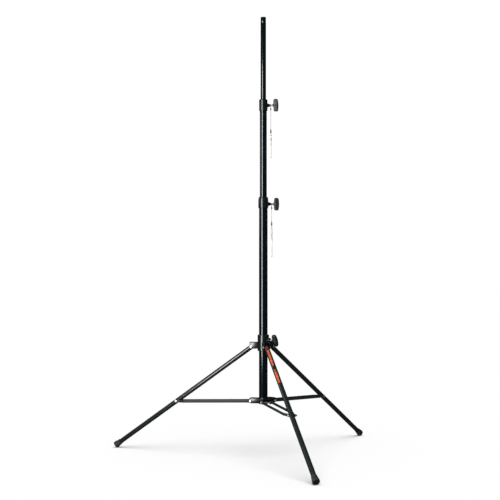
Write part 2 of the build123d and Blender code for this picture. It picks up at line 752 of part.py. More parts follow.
# What a joint, a mount or a check needs to know
print("leg angle", round(leg_angle, 4), "pivot radius", pivot_radius)
print("leg pivot height", round(leg_pivot_height, 4), "brace pivot height", round(brace_pivot_height, 4))
print("heights", {key: round(value, 3) for key, value in globals().items()
                  if isinstance(value, float) and key.endswith(("_top", "_bottom", "knob_height"))})
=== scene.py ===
"""Looks of a telescopic lighting stand: gloss black mast tubes, cast collars and hubs, wing knobs,
hinged legs with flat braces and rubber feet, and two locking pins on wire rope lanyards.

Metres, +Z up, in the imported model's frame. A piece that faces one way is drawn in the radial frame
(x outward, y sideways, z up) and then turned to its azimuth, which is counted from the front leg
(-Y) towards +X. A finished piece keeps its drawing coordinates in the attribute "drawn", which the
finishes read, and the rounded edges where paint wears off in the attribute "wear".
"""

import json
import math

import bpy
from mathutils import Matrix, Vector
from mathutils.kdtree import KDTree


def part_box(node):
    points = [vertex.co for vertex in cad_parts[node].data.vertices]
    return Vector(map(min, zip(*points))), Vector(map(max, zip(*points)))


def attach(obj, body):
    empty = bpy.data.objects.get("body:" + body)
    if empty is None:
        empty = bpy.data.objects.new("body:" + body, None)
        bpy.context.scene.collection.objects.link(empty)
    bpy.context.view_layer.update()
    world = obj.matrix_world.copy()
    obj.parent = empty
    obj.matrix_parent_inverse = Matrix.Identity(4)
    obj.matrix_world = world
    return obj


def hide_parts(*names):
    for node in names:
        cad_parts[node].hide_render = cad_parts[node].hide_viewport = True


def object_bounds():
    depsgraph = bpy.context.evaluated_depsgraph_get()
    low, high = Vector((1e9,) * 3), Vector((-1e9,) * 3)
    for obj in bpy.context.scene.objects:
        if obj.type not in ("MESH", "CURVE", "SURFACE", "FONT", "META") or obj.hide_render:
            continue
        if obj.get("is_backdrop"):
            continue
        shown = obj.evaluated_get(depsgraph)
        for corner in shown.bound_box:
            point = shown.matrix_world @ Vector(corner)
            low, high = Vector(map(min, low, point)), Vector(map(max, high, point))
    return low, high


bl_info = {
    "name": "Lighting Stand",
    "version": (1, 0, 0),
    "blender": (4, 5, 0),
    "location": "View3D > Sidebar > Stand",
    "description": "Dresses the packed frame of a telescopic lighting stand",
    "category": "Object",
}

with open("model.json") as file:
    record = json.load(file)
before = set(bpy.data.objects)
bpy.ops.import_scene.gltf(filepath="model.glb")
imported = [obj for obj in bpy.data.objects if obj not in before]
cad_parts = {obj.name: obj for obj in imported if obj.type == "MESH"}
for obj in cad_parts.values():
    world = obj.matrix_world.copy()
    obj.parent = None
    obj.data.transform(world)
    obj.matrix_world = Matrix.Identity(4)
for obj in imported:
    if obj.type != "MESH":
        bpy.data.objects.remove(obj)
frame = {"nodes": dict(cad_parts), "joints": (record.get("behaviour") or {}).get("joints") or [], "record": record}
cad_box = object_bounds()

ORIGIN = Matrix.Identity(4)
JOINTS = {joint["name"]: joint for joint in frame["joints"]}
BODIES = frame["record"]["behaviour"]["bodies"]
BODY_OF = {node: body for body, nodes in BODIES.items() for node in nodes}


# ---------------------------------------------------------------- places in the frame
def joint_point(name):
    return Vector(JOINTS[name]["pos_m"])


def azimuth_of(direction):
    """Angle of a direction from the front leg's, towards +X."""
    return math.atan2(direction[0], -direction[1])


def toward(azimuth):
    """Turns a piece from the radial frame to its azimuth."""
    return Matrix.Rotation(azimuth - math.pi / 2, 4, "Z")


def shifted(x=0.0, y=0.0, z=0.0):
    return Matrix.Translation((x, y, z))


def extent(node, place):
    """Lowest and highest corners of a CAD node, in the axes of a place."""
    inverse = place.inverted()
    points = [inverse @ vertex.co for vertex in frame["nodes"][node].data.vertices]
    low = Vector([min(point[i] for point in points) for i in range(3)])
    high = Vector([max(point[i] for point in points) for i in range(3)])
    return low, high


HIP = joint_point("front_leg_hinge")
PIVOT_RADIUS = Vector((HIP.x, HIP.y)).length
LEG_PIVOT_HEIGHT = HIP.z
BRACE_PIVOT_HEIGHT = joint_point("front_brace_hinge").z
LEGS = {leg: azimuth_of(joint_point(f"{leg}_leg_hinge")) for leg in ("front", "right", "left")}

# The leg's bolt with the brace, in the radial plane, gives the slope of the leg and of the brace.
bolt_low, bolt_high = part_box("front_brace_bolt")
brace_bolt_radius = -(bolt_low.y + bolt_high.y) / 2
brace_bolt_height = (bolt_low.z + bolt_high.z) / 2
LEG_ANGLE = math.atan2(brace_bolt_radius - PIVOT_RADIUS, LEG_PIVOT_HEIGHT - brace_bolt_height)
BRACE_DROOP = math.atan2(BRACE_PIVOT_HEIGHT - brace_bolt_height, brace_bolt_radius - PIVOT_RADIUS)
BRACE_LENGTH = math.hypot(BRACE_PIVOT_HEIGHT - brace_bolt_height, brace_bolt_radius - PIVOT_RADIUS)

LOWER_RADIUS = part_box("lower_tube")[1].x
MIDDLE_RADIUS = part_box("middle_tube")[1].x
TOP_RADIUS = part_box("top_tube")[1].x
KNOB_TURNS = {"upper": math.radians(12), "middle": 0.0, "hub": math.radians(28)}


def on_leg(azimuth):
    """Place of a piece drawn on a hanging leg with its pivot at the origin."""
    spread = Matrix.Rotation(-LEG_ANGLE, 4, "Y")
    return toward(azimuth) @ shifted(PIVOT_RADIUS, 0, LEG_PIVOT_HEIGHT) @ spread


def on_brace(azimuth):
    """Place of a piece drawn on a level brace with its hub pivot at the origin."""
    droop = Matrix.Rotation(BRACE_DROOP, 4, "Y")
    return toward(azimuth) @ shifted(PIVOT_RADIUS, 0, BRACE_PIVOT_HEIGHT) @ droop


def on_clamp(name):
    """Place of a piece drawn round a clamp screw, with x along the screw from the mast's axis."""
    axis = JOINTS[f"{name}_knob_turn"]["axis"]
    return toward(azimuth_of(axis)) @ shifted(z=joint_point(f"{name}_knob_turn").z)


# ---------------------------------------------------------------- properties
def colour_of(name, description, default):
    return bpy.props.FloatVectorProperty(name=name, description=description, default=default,
                                         subtype="COLOR", size=3, min=0.0, max=1.0)


class StandFinishes(bpy.types.PropertyGroup):
    tube_colour: colour_of(
        "Tube colour", "Gloss powder coat of the mast", (0.0008, 0.0022, 0.003))
    # Painted light: the legs have the mast tubes' own black coat, and this lighter colour stands in for the light
    # that falls on them; the brace strips take a copy lighter still.
    leg_lit_colour: colour_of(
        "Leg colour with painted light", "Semi-gloss powder coat of the legs and the braces, lighter with painted light", (0.006, 0.0085, 0.0082))
    casting_colour: colour_of(
        "Casting colour", "Satin powder coat of the collars, hubs and brackets", (0.0022, 0.0042, 0.0046))
    knob_colour: colour_of(
        "Knob colour", "Moulded nylon of the wing knobs", (0.006, 0.009, 0.0085))
    marking_colour: colour_of(
        "Marking colour", "Printed bars on the front leg", (0.5, 0.075, 0.008))


class StandDetails(bpy.types.PropertyGroup):
    segments: bpy.props.IntProperty(
        name="Segments", description="Faces round a mast tube", default=96, min=24, max=256)
    edge_radius: bpy.props.FloatProperty(
        name="Edge radius", description="Rounding of pressed and cast edges",
        default=0.0007, min=0.0001, max=0.002, precision=4, unit="LENGTH")
    thread_pitch: bpy.props.FloatProperty(
        name="Thread pitch", description="Rise of a clamp screw's thread in one turn",
        default=0.0015, min=0.0008, max=0.003, precision=4, unit="LENGTH")


class StandStudio(bpy.types.PropertyGroup):
    softbox_power: bpy.props.FloatProperty(
        name="Softbox power", description="Power of the tall softbox", default=190.0, min=0.0, unit="POWER")
    rim_power: bpy.props.FloatProperty(
        name="Rim light power", description="Power of the light behind the stand", default=7.0, min=0.0,
        unit="POWER")
    floor_white: bpy.props.FloatProperty(
        name="Floor white", description="Share of light that the floor gives back",
        default=0.9, min=0.0, max=1.0, subtype="FACTOR")


def settings():
    return bpy.context.scene.lighting_stand


class LightingStand(bpy.types.PropertyGroup):
    finishes: bpy.props.PointerProperty(type=StandFinishes, name="Finishes", description="Colours")
    details: bpy.props.PointerProperty(type=StandDetails, name="Details", description="Sizes")
    studio: bpy.props.PointerProperty(type=StandStudio, name="Studio", description="Lights and floor")


# ---------------------------------------------------------------- finishes
class Signal:
    """A number or colour that varies over a surface. Arithmetic on it adds Math nodes."""

    def __init__(self, finish, socket):
        self.finish = finish
        self.socket = socket

    def worked(self, operation, first, second):
        return self.finish.add("ShaderNodeMath", {"operation": operation}, {0: first, 1: second})

    def __add__(self, other):
        return self.worked("ADD", self, other)

    def __radd__(self, other):
        return self.worked("ADD", other, self)

    def __sub__(self, other):
        return self.worked("SUBTRACT", self, other)

    def __mul__(self, other):
        return self.worked("MULTIPLY", self, other)

    def between(self, low, high):
        """0 below low, 1 above high, and smooth between them."""
        values = {"Value": self, "From Min": low, "From Max": high}
        return self.finish.add("ShaderNodeMapRange", {"interpolation_type": "SMOOTHSTEP"}, values)


class Finish:
    """One procedural material round a Principled shader."""

    def __init__(self, name, **constants):
        self.material = bpy.data.materials.new(name)
        self.material.use_nodes = True
        self.tree = self.material.node_tree
        self.shader = self.tree.nodes["Principled BSDF"]
        self.give(constants)

    def add(self, kind, settings=None, values=None, output=0):
        """Adds one node: its settings first, then the values or links of its sockets."""
        node = self.tree.nodes.new(kind)
        for key, value in (settings or {}).items():
            setattr(node, key, value)
        for socket, value in (values or {}).items():
            self.feed(node.inputs[socket], value)
        return Signal(self, node.outputs[output])

    def feed(self, socket, value):
        if isinstance(value, Signal):
            self.tree.links.new(value.socket, socket)
        else:
            socket.default_value = value

    def give(self, values):
        """Feeds the shader's own sockets. Their names are written with underscores."""
        for name, value in values.items():
            self.feed(self.shader.inputs[name.replace("_", " ")], value)

    def drawn(self):
        return self.add("ShaderNodeAttribute", {"attribute_name": "drawn"}, output="Vector")

    def wear(self):
        return self.add("ShaderNodeAttribute", {"attribute_name": "wear"}, output="Fac")

    def placed(self):
        return self.add("ShaderNodeTexCoord", output="Object")

    def noise(self, where, scale, detail=2.0, stretch=None):
        if stretch:
            where = self.add("ShaderNodeVectorMath", {"operation": "MULTIPLY"}, {0: where, 1: stretch})
        return self.add("ShaderNodeTexNoise", None, {"Vector": where, "Scale": scale, "Detail": detail})

    def mixed(self, factor, first, second):
        return self.add("ShaderNodeMix", {"data_type": "RGBA"}, {0: factor, 6: first, 7: second}, output=2)

    def bump(self, height, strength, distance, normal=None):
        values = {"Height": height, "Strength": strength, "Distance": distance}
        if normal:
            values["Normal"] = normal
        return self.add("ShaderNodeBump", None, values)


def opaque(colour):
    return (*colour, 1.0)


def scaled(colour, factor):
    return tuple(min(1.0, part * factor) for part in colour)


BARE_STEEL = (0.2, 0.195, 0.185, 1.0)
PALE_DUST = (0.11, 0.105, 0.095, 1.0)


def powder_coat(name, colour, roughness, grain, grain_depth, dust, specular=0.5):
    """Powder coat: a fine orange peel, cloudy sheen, hairline scuffs along the piece and worn edges."""
    finish = Finish(name, Specular_IOR_Level=specular)
    drawn = finish.drawn()
    cloud = finish.noise(drawn, 6.0, 4.0)
    fleck = finish.noise(drawn, 210.0, 3.0)
    hairline = finish.noise(drawn, 1100.0, 3.0, stretch=(1.0, 1.0, 0.02)).between(0.66, 0.78)
    scuff = hairline * fleck.between(0.5, 0.66)
    nick = finish.noise(drawn, 900.0, 4.0).between(0.52, 0.6)
    chipped = finish.wear() * fleck.between(0.55, 0.68) * nick * 0.75
    settled = cloud.between(0.45, 0.75) * fleck.between(0.3, 0.8) * dust
    base = finish.mixed(cloud, opaque(scaled(colour, 0.8)), opaque(scaled(colour, 1.3)))
    base = finish.mixed(scuff * 0.03 + settled, base, PALE_DUST)
    base = finish.mixed(chipped, base, BARE_STEEL)
    peel = finish.noise(drawn, grain, 2.0)
    finish.give({
        "Base_Color": base,
        "Metallic": chipped,
        "Roughness": roughness + cloud * 0.04 + scuff * 0.08 + settled + chipped * 0.15,
        "Normal": finish.bump(peel, 0.3, grain_depth),
    })
    return finish.material


def moulded_plastic(name, colour, roughness, where, speckle):
    """Moulded nylon: a spark-eroded texture, pale fibre specks and handled, shinier edges."""
    finish = Finish(name)
    place = getattr(finish, where)()
    speck = finish.noise(place, 1500.0, 2.0)
    flow = finish.noise(place, 45.0, 4.0, stretch=(1.0, 1.0, 0.3))
    fibre = finish.noise(place, 3200.0, 1.0, stretch=(1.0, 1.0, 0.25)).between(0.68, 0.8)
    base = finish.mixed(flow, opaque(scaled(colour, 0.75)), opaque(scaled(colour, 1.35)))
    base = finish.mixed(fibre * speckle, base, (0.16, 0.17, 0.165, 1.0))
    finish.give({
        "Base_Color": base,
        "Roughness": roughness + flow * 0.16 - finish.wear() * 0.12,
        "Normal": finish.bump(speck, 0.5, 0.00008, finish.bump(flow, 0.15, 0.0003)),
    })
    return finish.material


def rubber(name, colour):
    """Moulded rubber with a chalky bloom, grit pressed into its sole and a fine grain."""
    finish = Finish(name, Specular_IOR_Level=0.35)
    drawn = finish.drawn()
    bloom = finish.noise(drawn, 60.0, 5.0)
    grit = finish.noise(drawn, 1300.0, 2.0)
    chalk = bloom.between(0.5, 0.8) * 0.08 + finish.wear() * bloom.between(0.4, 0.6) * 0.15
    finish.give({
        "Base_Color": finish.mixed(chalk, opaque(colour), (0.07, 0.068, 0.062, 1.0)),
        "Roughness": 0.55 + bloom * 0.3,
        "Normal": finish.bump(grit, 0.45, 0.00012, finish.bump(bloom, 0.2, 0.0004)),
    })
    return finish.material


def bright_metal(name, colour, tarnish, roughness, rings, metallic=1.0):
    """Plated or turned metal: tool marks round its axis, a cloudy passivation and dull recesses."""
    finish = Finish(name, Metallic=metallic)
    drawn = finish.drawn()
    cloud = finish.noise(drawn, 110.0, 4.0)
    mark = finish.noise(drawn, rings, 2.0, stretch=(1.0, 1.0, 9.0))
    pit = finish.noise(drawn, 1600.0, 2.0).between(0.62, 0.72)
    base = finish.mixed(cloud.between(0.35, 0.7), opaque(colour), opaque(tarnish))
    finish.give({
        "Base_Color": finish.mixed(pit * 0.5, base, opaque(scaled(tarnish, 0.45))),
        "Roughness": roughness + mark * 0.12 + cloud * 0.1 + pit * 0.2,
        "Normal": finish.bump(mark, 0.12, 0.00006, finish.bump(pit, 0.3, 0.00003)),
    })
    return finish.material


def wire_rope(name):
    """Drawn steel strands under a thin clear sleeve."""
    finish = Finish(name, Coat_Roughness=0.12)
    drawn = finish.drawn()
    strand = finish.noise(drawn, 2600.0, 2.0, stretch=(1.0, 1.0, 0.06))
    cloud = finish.noise(drawn, 300.0, 3.0)
    finish.give({
        "Base_Color": finish.mixed(cloud, (0.13, 0.118, 0.118, 1.0), (0.06, 0.054, 0.054, 1.0)),
        "Metallic": 0.55 + cloud * 0.2,
        "Roughness": 0.3 + strand * 0.25,
        "Coat_Weight": 0.35 + cloud * 0.3,
        "Normal": finish.bump(strand, 0.4, 0.00005),
    })
    return finish.material


def printed_ink(name, colour):
    """Screen-printed ink: a little uneven, with pinholes and rubbed edges."""
    finish = Finish(name)
    drawn = finish.drawn()
    flow = finish.noise(drawn, 90.0, 4.0)
    pinhole = finish.noise(drawn, 1100.0, 2.0).between(0.68, 0.74)
    base = finish.mixed(flow, opaque(scaled(colour, 0.82)), opaque(scaled(colour, 1.12)))
    finish.give({
        "Base_Color": finish.mixed(pinhole * 0.8, base, (0.02, 0.02, 0.02, 1.0)),
        "Roughness": 0.34 + flow * 0.18,
        "Normal": finish.bump(flow, 0.2, 0.0001),
    })
    return finish.material


def make_finishes():
    """The material of each slot in the record, a lighter copy of the tube coat for the legs, and two printing
    inks; the lighter colours of the legs and the strips are painted light.
    """
    colours = settings().finishes
    tube, leg, casting = colours.tube_colour, colours.leg_lit_colour, colours.casting_colour
    zinc, yellowed = (0.6, 0.61, 0.6), (0.47, 0.45, 0.38)
    return {
        "painted_tube": powder_coat("Gloss powder coat", tube, 0.14, 700.0, 0.000004, 0.004),
        # painted light: the leg coat and the strip coat are lighter copies of the tube's black, for the light that
        # falls on the legs and the strips
        "lit_leg_coat": powder_coat("Leg powder coat with painted light", leg, 0.22, 900.0, 0.000008, 0.01),
        "painted_casting": powder_coat("Satin powder coat", casting, 0.24, 1500.0, 0.00004, 0.03),
        "painted_strip": powder_coat("Strip coat with painted light", scaled(leg, 1.6), 0.45, 900.0, 0.00003, 0.03, 0.2),
        "moulded_knob": moulded_plastic("Ribbed nylon", colours.knob_colour, 0.42, "drawn", 0.3),
        "black_nylon": moulded_plastic("Black nylon", (0.011, 0.011, 0.012), 0.4, "placed", 0.15),
        "foot_rubber": rubber("Foot rubber", (0.006, 0.0068, 0.0066)),
        "lanyard_sleeve": moulded_plastic("Shrink sleeve", (0.018, 0.015, 0.014), 0.34, "drawn", 0.1),
        "plated_steel": bright_metal("Zinc plate", zinc, yellowed, 0.22, 500.0, 0.86),
        "steel_wire": wire_rope("Wire rope"),
        "brass_shoe": bright_metal("Turned brass", (0.72, 0.5, 0.2), (0.4, 0.27, 0.12), 0.24, 400.0),
        "orange_ink": printed_ink("Orange ink", colours.marking_colour),
        "oxide_ink": printed_ink("Red oxide ink", (0.07, 0.012, 0.008)),
    }


FINISHES = {}


# ---------------------------------------------------------------- modelling by hand
def begin(name, primitive, **settings):
    """Adds a primitive with nothing else selected, names it and puts its place into its mesh."""
    bpy.ops.object.select_all(action="DESELECT")
    primitive(**settings)
    bpy.ops.object.transform_apply(location=True, rotation=True, scale=True)
    piece = bpy.context.object
    piece.name = name
    piece.data.name = name
    return piece


def object_mode():
    bpy.ops.object.mode_set(mode="OBJECT")


def only(*pieces):
    """Selects these pieces alone, with the first one active."""
    bpy.ops.object.select_all(action="DESELECT")
    for piece in pieces:
        piece.select_set(True)
    bpy.context.view_layer.objects.active = pieces[0]


def pick(piece, kind, test):
    """Edit mode, with the faces, edges or vertices selected whose middle and direction pass a test."""
    if piece.mode == "EDIT":
        object_mode()
    only(piece)
    mesh = piece.data
    kinds = ("VERT", "EDGE", "FACE")
    bpy.context.tool_settings.mesh_select_mode = [kind == each for each in kinds]
    for group in (mesh.vertices, mesh.edges, mesh.polygons):
        group.foreach_set("select", [False] * len(group))
    if kind == "FACE":
        for face in mesh.polygons:
            face.select = test(face.center, face.normal)
    elif kind == "EDGE":
        for edge in mesh.edges:
            first, last = (mesh.vertices[i].co for i in edge.vertices)
            edge.select = test((first + last) / 2, (last - first).normalized())
    else:
        for vertex in mesh.vertices:
            vertex.select = test(vertex.co, vertex.normal)
    bpy.ops.object.mode_set(mode="EDIT")


def everything(*_):
    return True


def tidy(piece):
    """Merges doubles, closes holes and turns the faces outwards."""
    pick(piece, "VERT", everything)
    bpy.ops.mesh.remove_doubles(threshold=1e-6)
    bpy.ops.mesh.select_all(action="DESELECT")
    bpy.ops.mesh.select_non_manifold(extend=False, use_wire=False, use_multi_face=False,
                                     use_non_contiguous=False, use_verts=False)
    bpy.ops.mesh.fill_holes(sides=0)
    bpy.ops.mesh.select_all(action="SELECT")
    bpy.ops.mesh.normals_make_consistent(inside=False)
    object_mode()


def shade(piece, degrees=32.0):
    only(piece)
    bpy.ops.object.shade_smooth_by_angle(angle=math.radians(degrees))


def apply(piece, kind, **values):
    """Adds a modifier, sets it and applies it."""
    only(piece)
    modifier = piece.modifiers.new(kind.title(), kind)
    for key, value in values.items():
        setattr(modifier, key, value)
    bpy.ops.object.modifier_apply(modifier=modifier.name)


def mark_wear(piece, worn):
    """Writes the attribute "wear": 1 at each vertex whose index is in worn."""
    attribute = piece.data.attributes.get("wear") or piece.data.attributes.new("wear", "FLOAT", "POINT")
    for index in worn:
        attribute.data[index].value = 1.0


def soften(piece, width, segments=3, degrees=35.0):
    """Rounds the sharp edges, and marks the vertices along the middle of each rounding as worn."""
    mesh = piece.data
    mesh.materials.clear()
    mesh.materials.append(None)
    mesh.materials.append(None)
    apply(piece, "BEVEL", width=width, segments=segments, limit_method="ANGLE",
          angle_limit=math.radians(degrees), material=1, harden_normals=False)
    flat = {index for face in mesh.polygons if face.material_index == 0 for index in face.vertices}
    for face in mesh.polygons:
        face.material_index = 0
    mesh.materials.clear()
    mark_wear(piece, set(range(len(mesh.vertices))) - flat)


def joined(name, *pieces):
    """Makes one piece of several closed shells."""
    only(*pieces)
    bpy.ops.object.join()
    pieces[0].name = name
    pieces[0].data.name = name
    return pieces[0]


def moved(piece, place):
    """Puts a place into a piece's mesh, and keeps its faces outwards when the place mirrors it."""
    piece.data.transform(place)
    if place.is_negative:
        piece.data.flip_normals()
    return piece


def rounded(outline, radius, steps=4, closed=False):
    """An outline of (radius, height) points with each convex or hollow corner made an arc.
    Returns (radius, height, worn) points; the worn ones are on the arcs."""
    points = [Vector(point) for point in outline]
    result = []
    for i, corner in enumerate(points):
        if not closed and i in (0, len(points) - 1):
            result.append((corner.x, corner.y, 0.0))
            continue
        before, after = points[i - 1] - corner, points[(i + 1) % len(points)] - corner
        reach = min(radius, 0.45 * before.length, 0.45 * after.length)
        start, end = corner + before.normalized() * reach, corner + after.normalized() * reach
        for k in range(steps + 1):
            t = k / steps
            point = start * (1 - t) ** 2 + corner * 2 * t * (1 - t) + end * t ** 2
            result.append((point.x, point.y, float(0 < k < steps)))
    return result


def turned(name, outline, segments=48, closed=False):
    """Solid of revolution about z: a ring is extruded and scaled along (radius, height) points."""
    points = [(*point, 0.0)[:3] for point in outline]
    if closed:
        points.append(points[0])
    radius, height, _ = points[0]
    piece = begin(name, bpy.ops.mesh.primitive_circle_add, vertices=segments, radius=radius,
                  location=(0, 0, height))
    bpy.context.tool_settings.mesh_select_mode = (True, False, False)
    bpy.ops.object.mode_set(mode="EDIT")
    bpy.ops.mesh.select_all(action="SELECT")
    for (last_radius, last_height, _), (next_radius, next_height, _) in zip(points, points[1:]):
        rise = (0, 0, next_height - last_height)
        factor = next_radius / last_radius
        bpy.ops.mesh.extrude_edges_move(TRANSFORM_OT_translate={"value": rise})
        bpy.ops.transform.resize(value=(factor, factor, 1), center_override=(0, 0, next_height))
    object_mode()
    mark_wear(piece, [i * segments + k for i, point in enumerate(points) if point[2]
                      for k in range(segments)])
    tidy(piece)
    return piece


def lathed(name, outline, rounding, steps=4, segments=48, closed=False):
    """Solid of revolution with the corners of its outline rounded."""
    return turned(name, rounded(outline, rounding, steps, closed), segments, closed)


def bar(name, low, high):
    """Box between two corners, to be shaped further."""
    middle = [(a + b) / 2 for a, b in zip(low, high)]
    size = [b - a for a, b in zip(low, high)]
    piece = begin(name, bpy.ops.mesh.primitive_cube_add, size=1, location=middle, scale=size)
    return piece


def cut(piece, *others):
    """Takes other solids out of a piece."""
    merge(piece, "DIFFERENCE", others)


def unite(piece, *others):
    """Makes one solid of a piece and others."""
    merge(piece, "UNION", others)


def merge(piece, operation, others):
    """Runs the Booleans, and then marks as worn only what was worn before and is still there."""
    wear = piece.data.attributes.get("wear")
    worn = [vertex.co.copy() for vertex in piece.data.vertices
            if wear and wear.data[vertex.index].value > 0.5]
    for other in others:
        apply(piece, "BOOLEAN", operation=operation, object=other, solver="EXACT")
        bpy.data.objects.remove(other)
    mesh = piece.data
    if "wear" in mesh.attributes:
        mesh.attributes.remove(mesh.attributes["wear"])
    tree = KDTree(len(mesh.vertices))
    for vertex in mesh.vertices:
        tree.insert(vertex.co, vertex.index)
    tree.balance()
    mark_wear(piece, [near[1] for near in map(tree.find, worn) if near[2] < 1e-6])


ALONG_X = Matrix.Rotation(math.pi / 2, 4, "Y")  # turns a solid's axis from z to x
ALONG_Y = Matrix.Rotation(-math.pi / 2, 4, "X")  # turns a solid's axis from z to y


def dress(piece, place, finish, like):
    """Gives a piece its drawing coordinates, its place, its finish and the body of a CAD node."""
    mesh = piece.data
    shade(piece)
    coordinates = [part for vertex in mesh.vertices for part in vertex.co]
    mesh.attributes.new("drawn", "FLOAT_VECTOR", "POINT").data.foreach_set("vector", coordinates)
    moved(piece, place)
    mesh.materials.clear()
    mesh.materials.append(FINISHES[finish])
    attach(piece, BODY_OF[like])


def settle(piece, place, like, finish=None):
    """Finishes a piece: its drawing coordinates, its place, the material of its CAD node's slot or the finish
    given, and its body.
    The CAD node that it is like is hidden."""
    slot = frame["nodes"][like].data.materials[0].name
    dress(piece, place, finish or slot, like)
    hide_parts(like)
    return piece


# ---------------------------------------------------------------- lanyards
WIRE_DIAMETER = 0.0024
FERRULE_TOP = 0.018  # below the screw's axis
FERRULE_LENGTH = 0.014
BOOT_LENGTH = 0.023  # of the lower sleeve, which also grips the loop's legs
LANYARDS = {
    "upper": {"reach": 0.0487, "wire_end": 0.154, "quarter": 0.03782, "length": 0.122},
    "middle": {"reach": 0.0549, "wire_end": 0.113, "quarter": 0.02511, "length": 0.081},
}
LANYARD_DROP = 0.196  # from the screw's axis to the lower loop's end
RING_DROP = 0.1986
RING_RADIUS = 0.0045


def route_points(points):
    """Points along the smooth line of a route, read from its own NURBS spline."""
    curve = bpy.data.curves.new("route", "CURVE")
    curve.dimensions = "3D"
    curve.resolution_u = 16
    spline = curve.splines.new("NURBS")
    spline.points.add(len(points) - 1)
    for control, point in zip(spline.points, points):
        control.co = (*point, 1.0)
    spline.order_u = 3
    spline.use_endpoint_u = True
    holder = bpy.data.objects.new("route", curve)
    mesh = bpy.data.meshes.new_from_object(holder)
    line = [vertex.co.copy() for vertex in mesh.vertices]
    bpy.data.meshes.remove(mesh)
    bpy.data.objects.remove(holder)
    return line


def spaced(line, step):
    """The line again, with points about a step apart."""
    result, left = [line[0]], step
    for first, last in zip(line, line[1:]):
        run = (last - first).length
        while run > left:
            first = first.lerp(last, left / run)
            result.append(first)
            run, left = (last - first).length, step
        left -= run
    return result + [line[-1]]


def strand(name, points, radius):
    """Round wire through points, as a closed mesh."""
    curve = bpy.data.curves.new(name, "CURVE")
    curve.dimensions = "3D"
    curve.bevel_depth = radius
    curve.bevel_resolution = 1
    curve.use_fill_caps = True
    spline = curve.splines.new("POLY")
    spline.points.add(len(points) - 1)
    for control, point in zip(spline.points, points):
        control.co = (*point, 1.0)
    piece = bpy.data.objects.new(name, curve)
    bpy.context.scene.collection.objects.link(piece)
    only(piece)
    bpy.ops.object.convert(target="MESH")
    piece = bpy.context.object
    tidy(piece)
    return piece


def rope(name, points, across, diameter, lay=0.011, strands=6):
    """Wire rope: a core and strands laid round the route. across is never along the route."""
    line = spaced(route_points(points), lay / 12)
    core_radius, strand_radius = diameter * 0.19, diameter * 0.165
    helix_radius = diameter / 2 - strand_radius
    pieces = [strand(f"{name}_core", line, core_radius)]
    across = Vector(across)
    for number in range(strands):
        helix = []
        for i, point in enumerate(line):
            along = line[min(i + 1, len(line) - 1)] - line[max(i - 1, 0)]
            side = along.cross(across).normalized()
            other = side.cross(along).normalized()
            turn = 2 * math.pi * (i / 12 + number / strands)
            helix.append(point + (side * math.cos(turn) + other * math.sin(turn)) * helix_radius)
        pieces.append(strand(f"{name}_strand", helix, strand_radius))
    return joined(name, *pieces), line


def wire_route(reach, wire_end, quarter):
    """The wire's route from the upper ferrule down to the lower one, from the screw's axis."""
    top = FERRULE_TOP + FERRULE_LENGTH
    middle = (top + wire_end) / 2
    return [
        (reach, 0.0, -top),
        (reach, 0.0, -middle + quarter),
        (reach + 0.0007, 0.0004, -middle),
        (reach, 0.0, -middle - quarter),
        (reach, 0.0, -wire_end),
    ]


def screw_loop_route(reach):
    side = [(0.0013, -0.018), (0.0013, -0.014), (0.007, -0.004), (0.007, 0.0063)]
    return [(reach, y, z) for y, z in side + [(-y, z) for y, z in reversed(side)]]


def pin_loop_route(reach, wire_end):
    top = wire_end + FERRULE_LENGTH
    side = [(0.0013, -top), (0.0013, -top - 0.004),
            (0.0047, -LANYARD_DROP + 0.011), (0.0047, -LANYARD_DROP)]
    return [(reach + x, 0.0, z) for x, z in side + [(-x, z) for x, z in reversed(side)]]


def ferrule(name, upper_radius, lower_radius, reach, top, length):
    """Shrink sleeve over a crimp: swollen round the crimp, and drawn in at both ends."""
    low = top - length
    outline = [
        (0.0014, top + 0.0014), (upper_radius * 0.62, top), (upper_radius, top - 0.0035),
        ((upper_radius + lower_radius) * 0.49, (top + low) / 2), (lower_radius, low + 0.0035),
        (lower_radius * 0.7, low), (0.0024, low - 0.0012),
    ]
    piece = lathed(name, outline, 0.0012, segments=24)
    return moved(piece, shifted(x=reach))


def split_ring(name, reach):
    """Key ring of flat wire, wound twice."""
    steps = 48
    pitch = 0.0009
    helix = []
    for i in range(2 * steps + 1):
        turn = 2 * math.pi * i / steps
        ease = min(1.0, max(0.0, (i - steps * 0.85) / (steps * 0.3)))
        helix.append(Vector((reach + pitch * (ease - 0.5), RING_RADIUS * math.sin(turn),
                             -RING_DROP + RING_RADIUS * math.cos(turn))))
    return strand(name, helix, 0.00048)


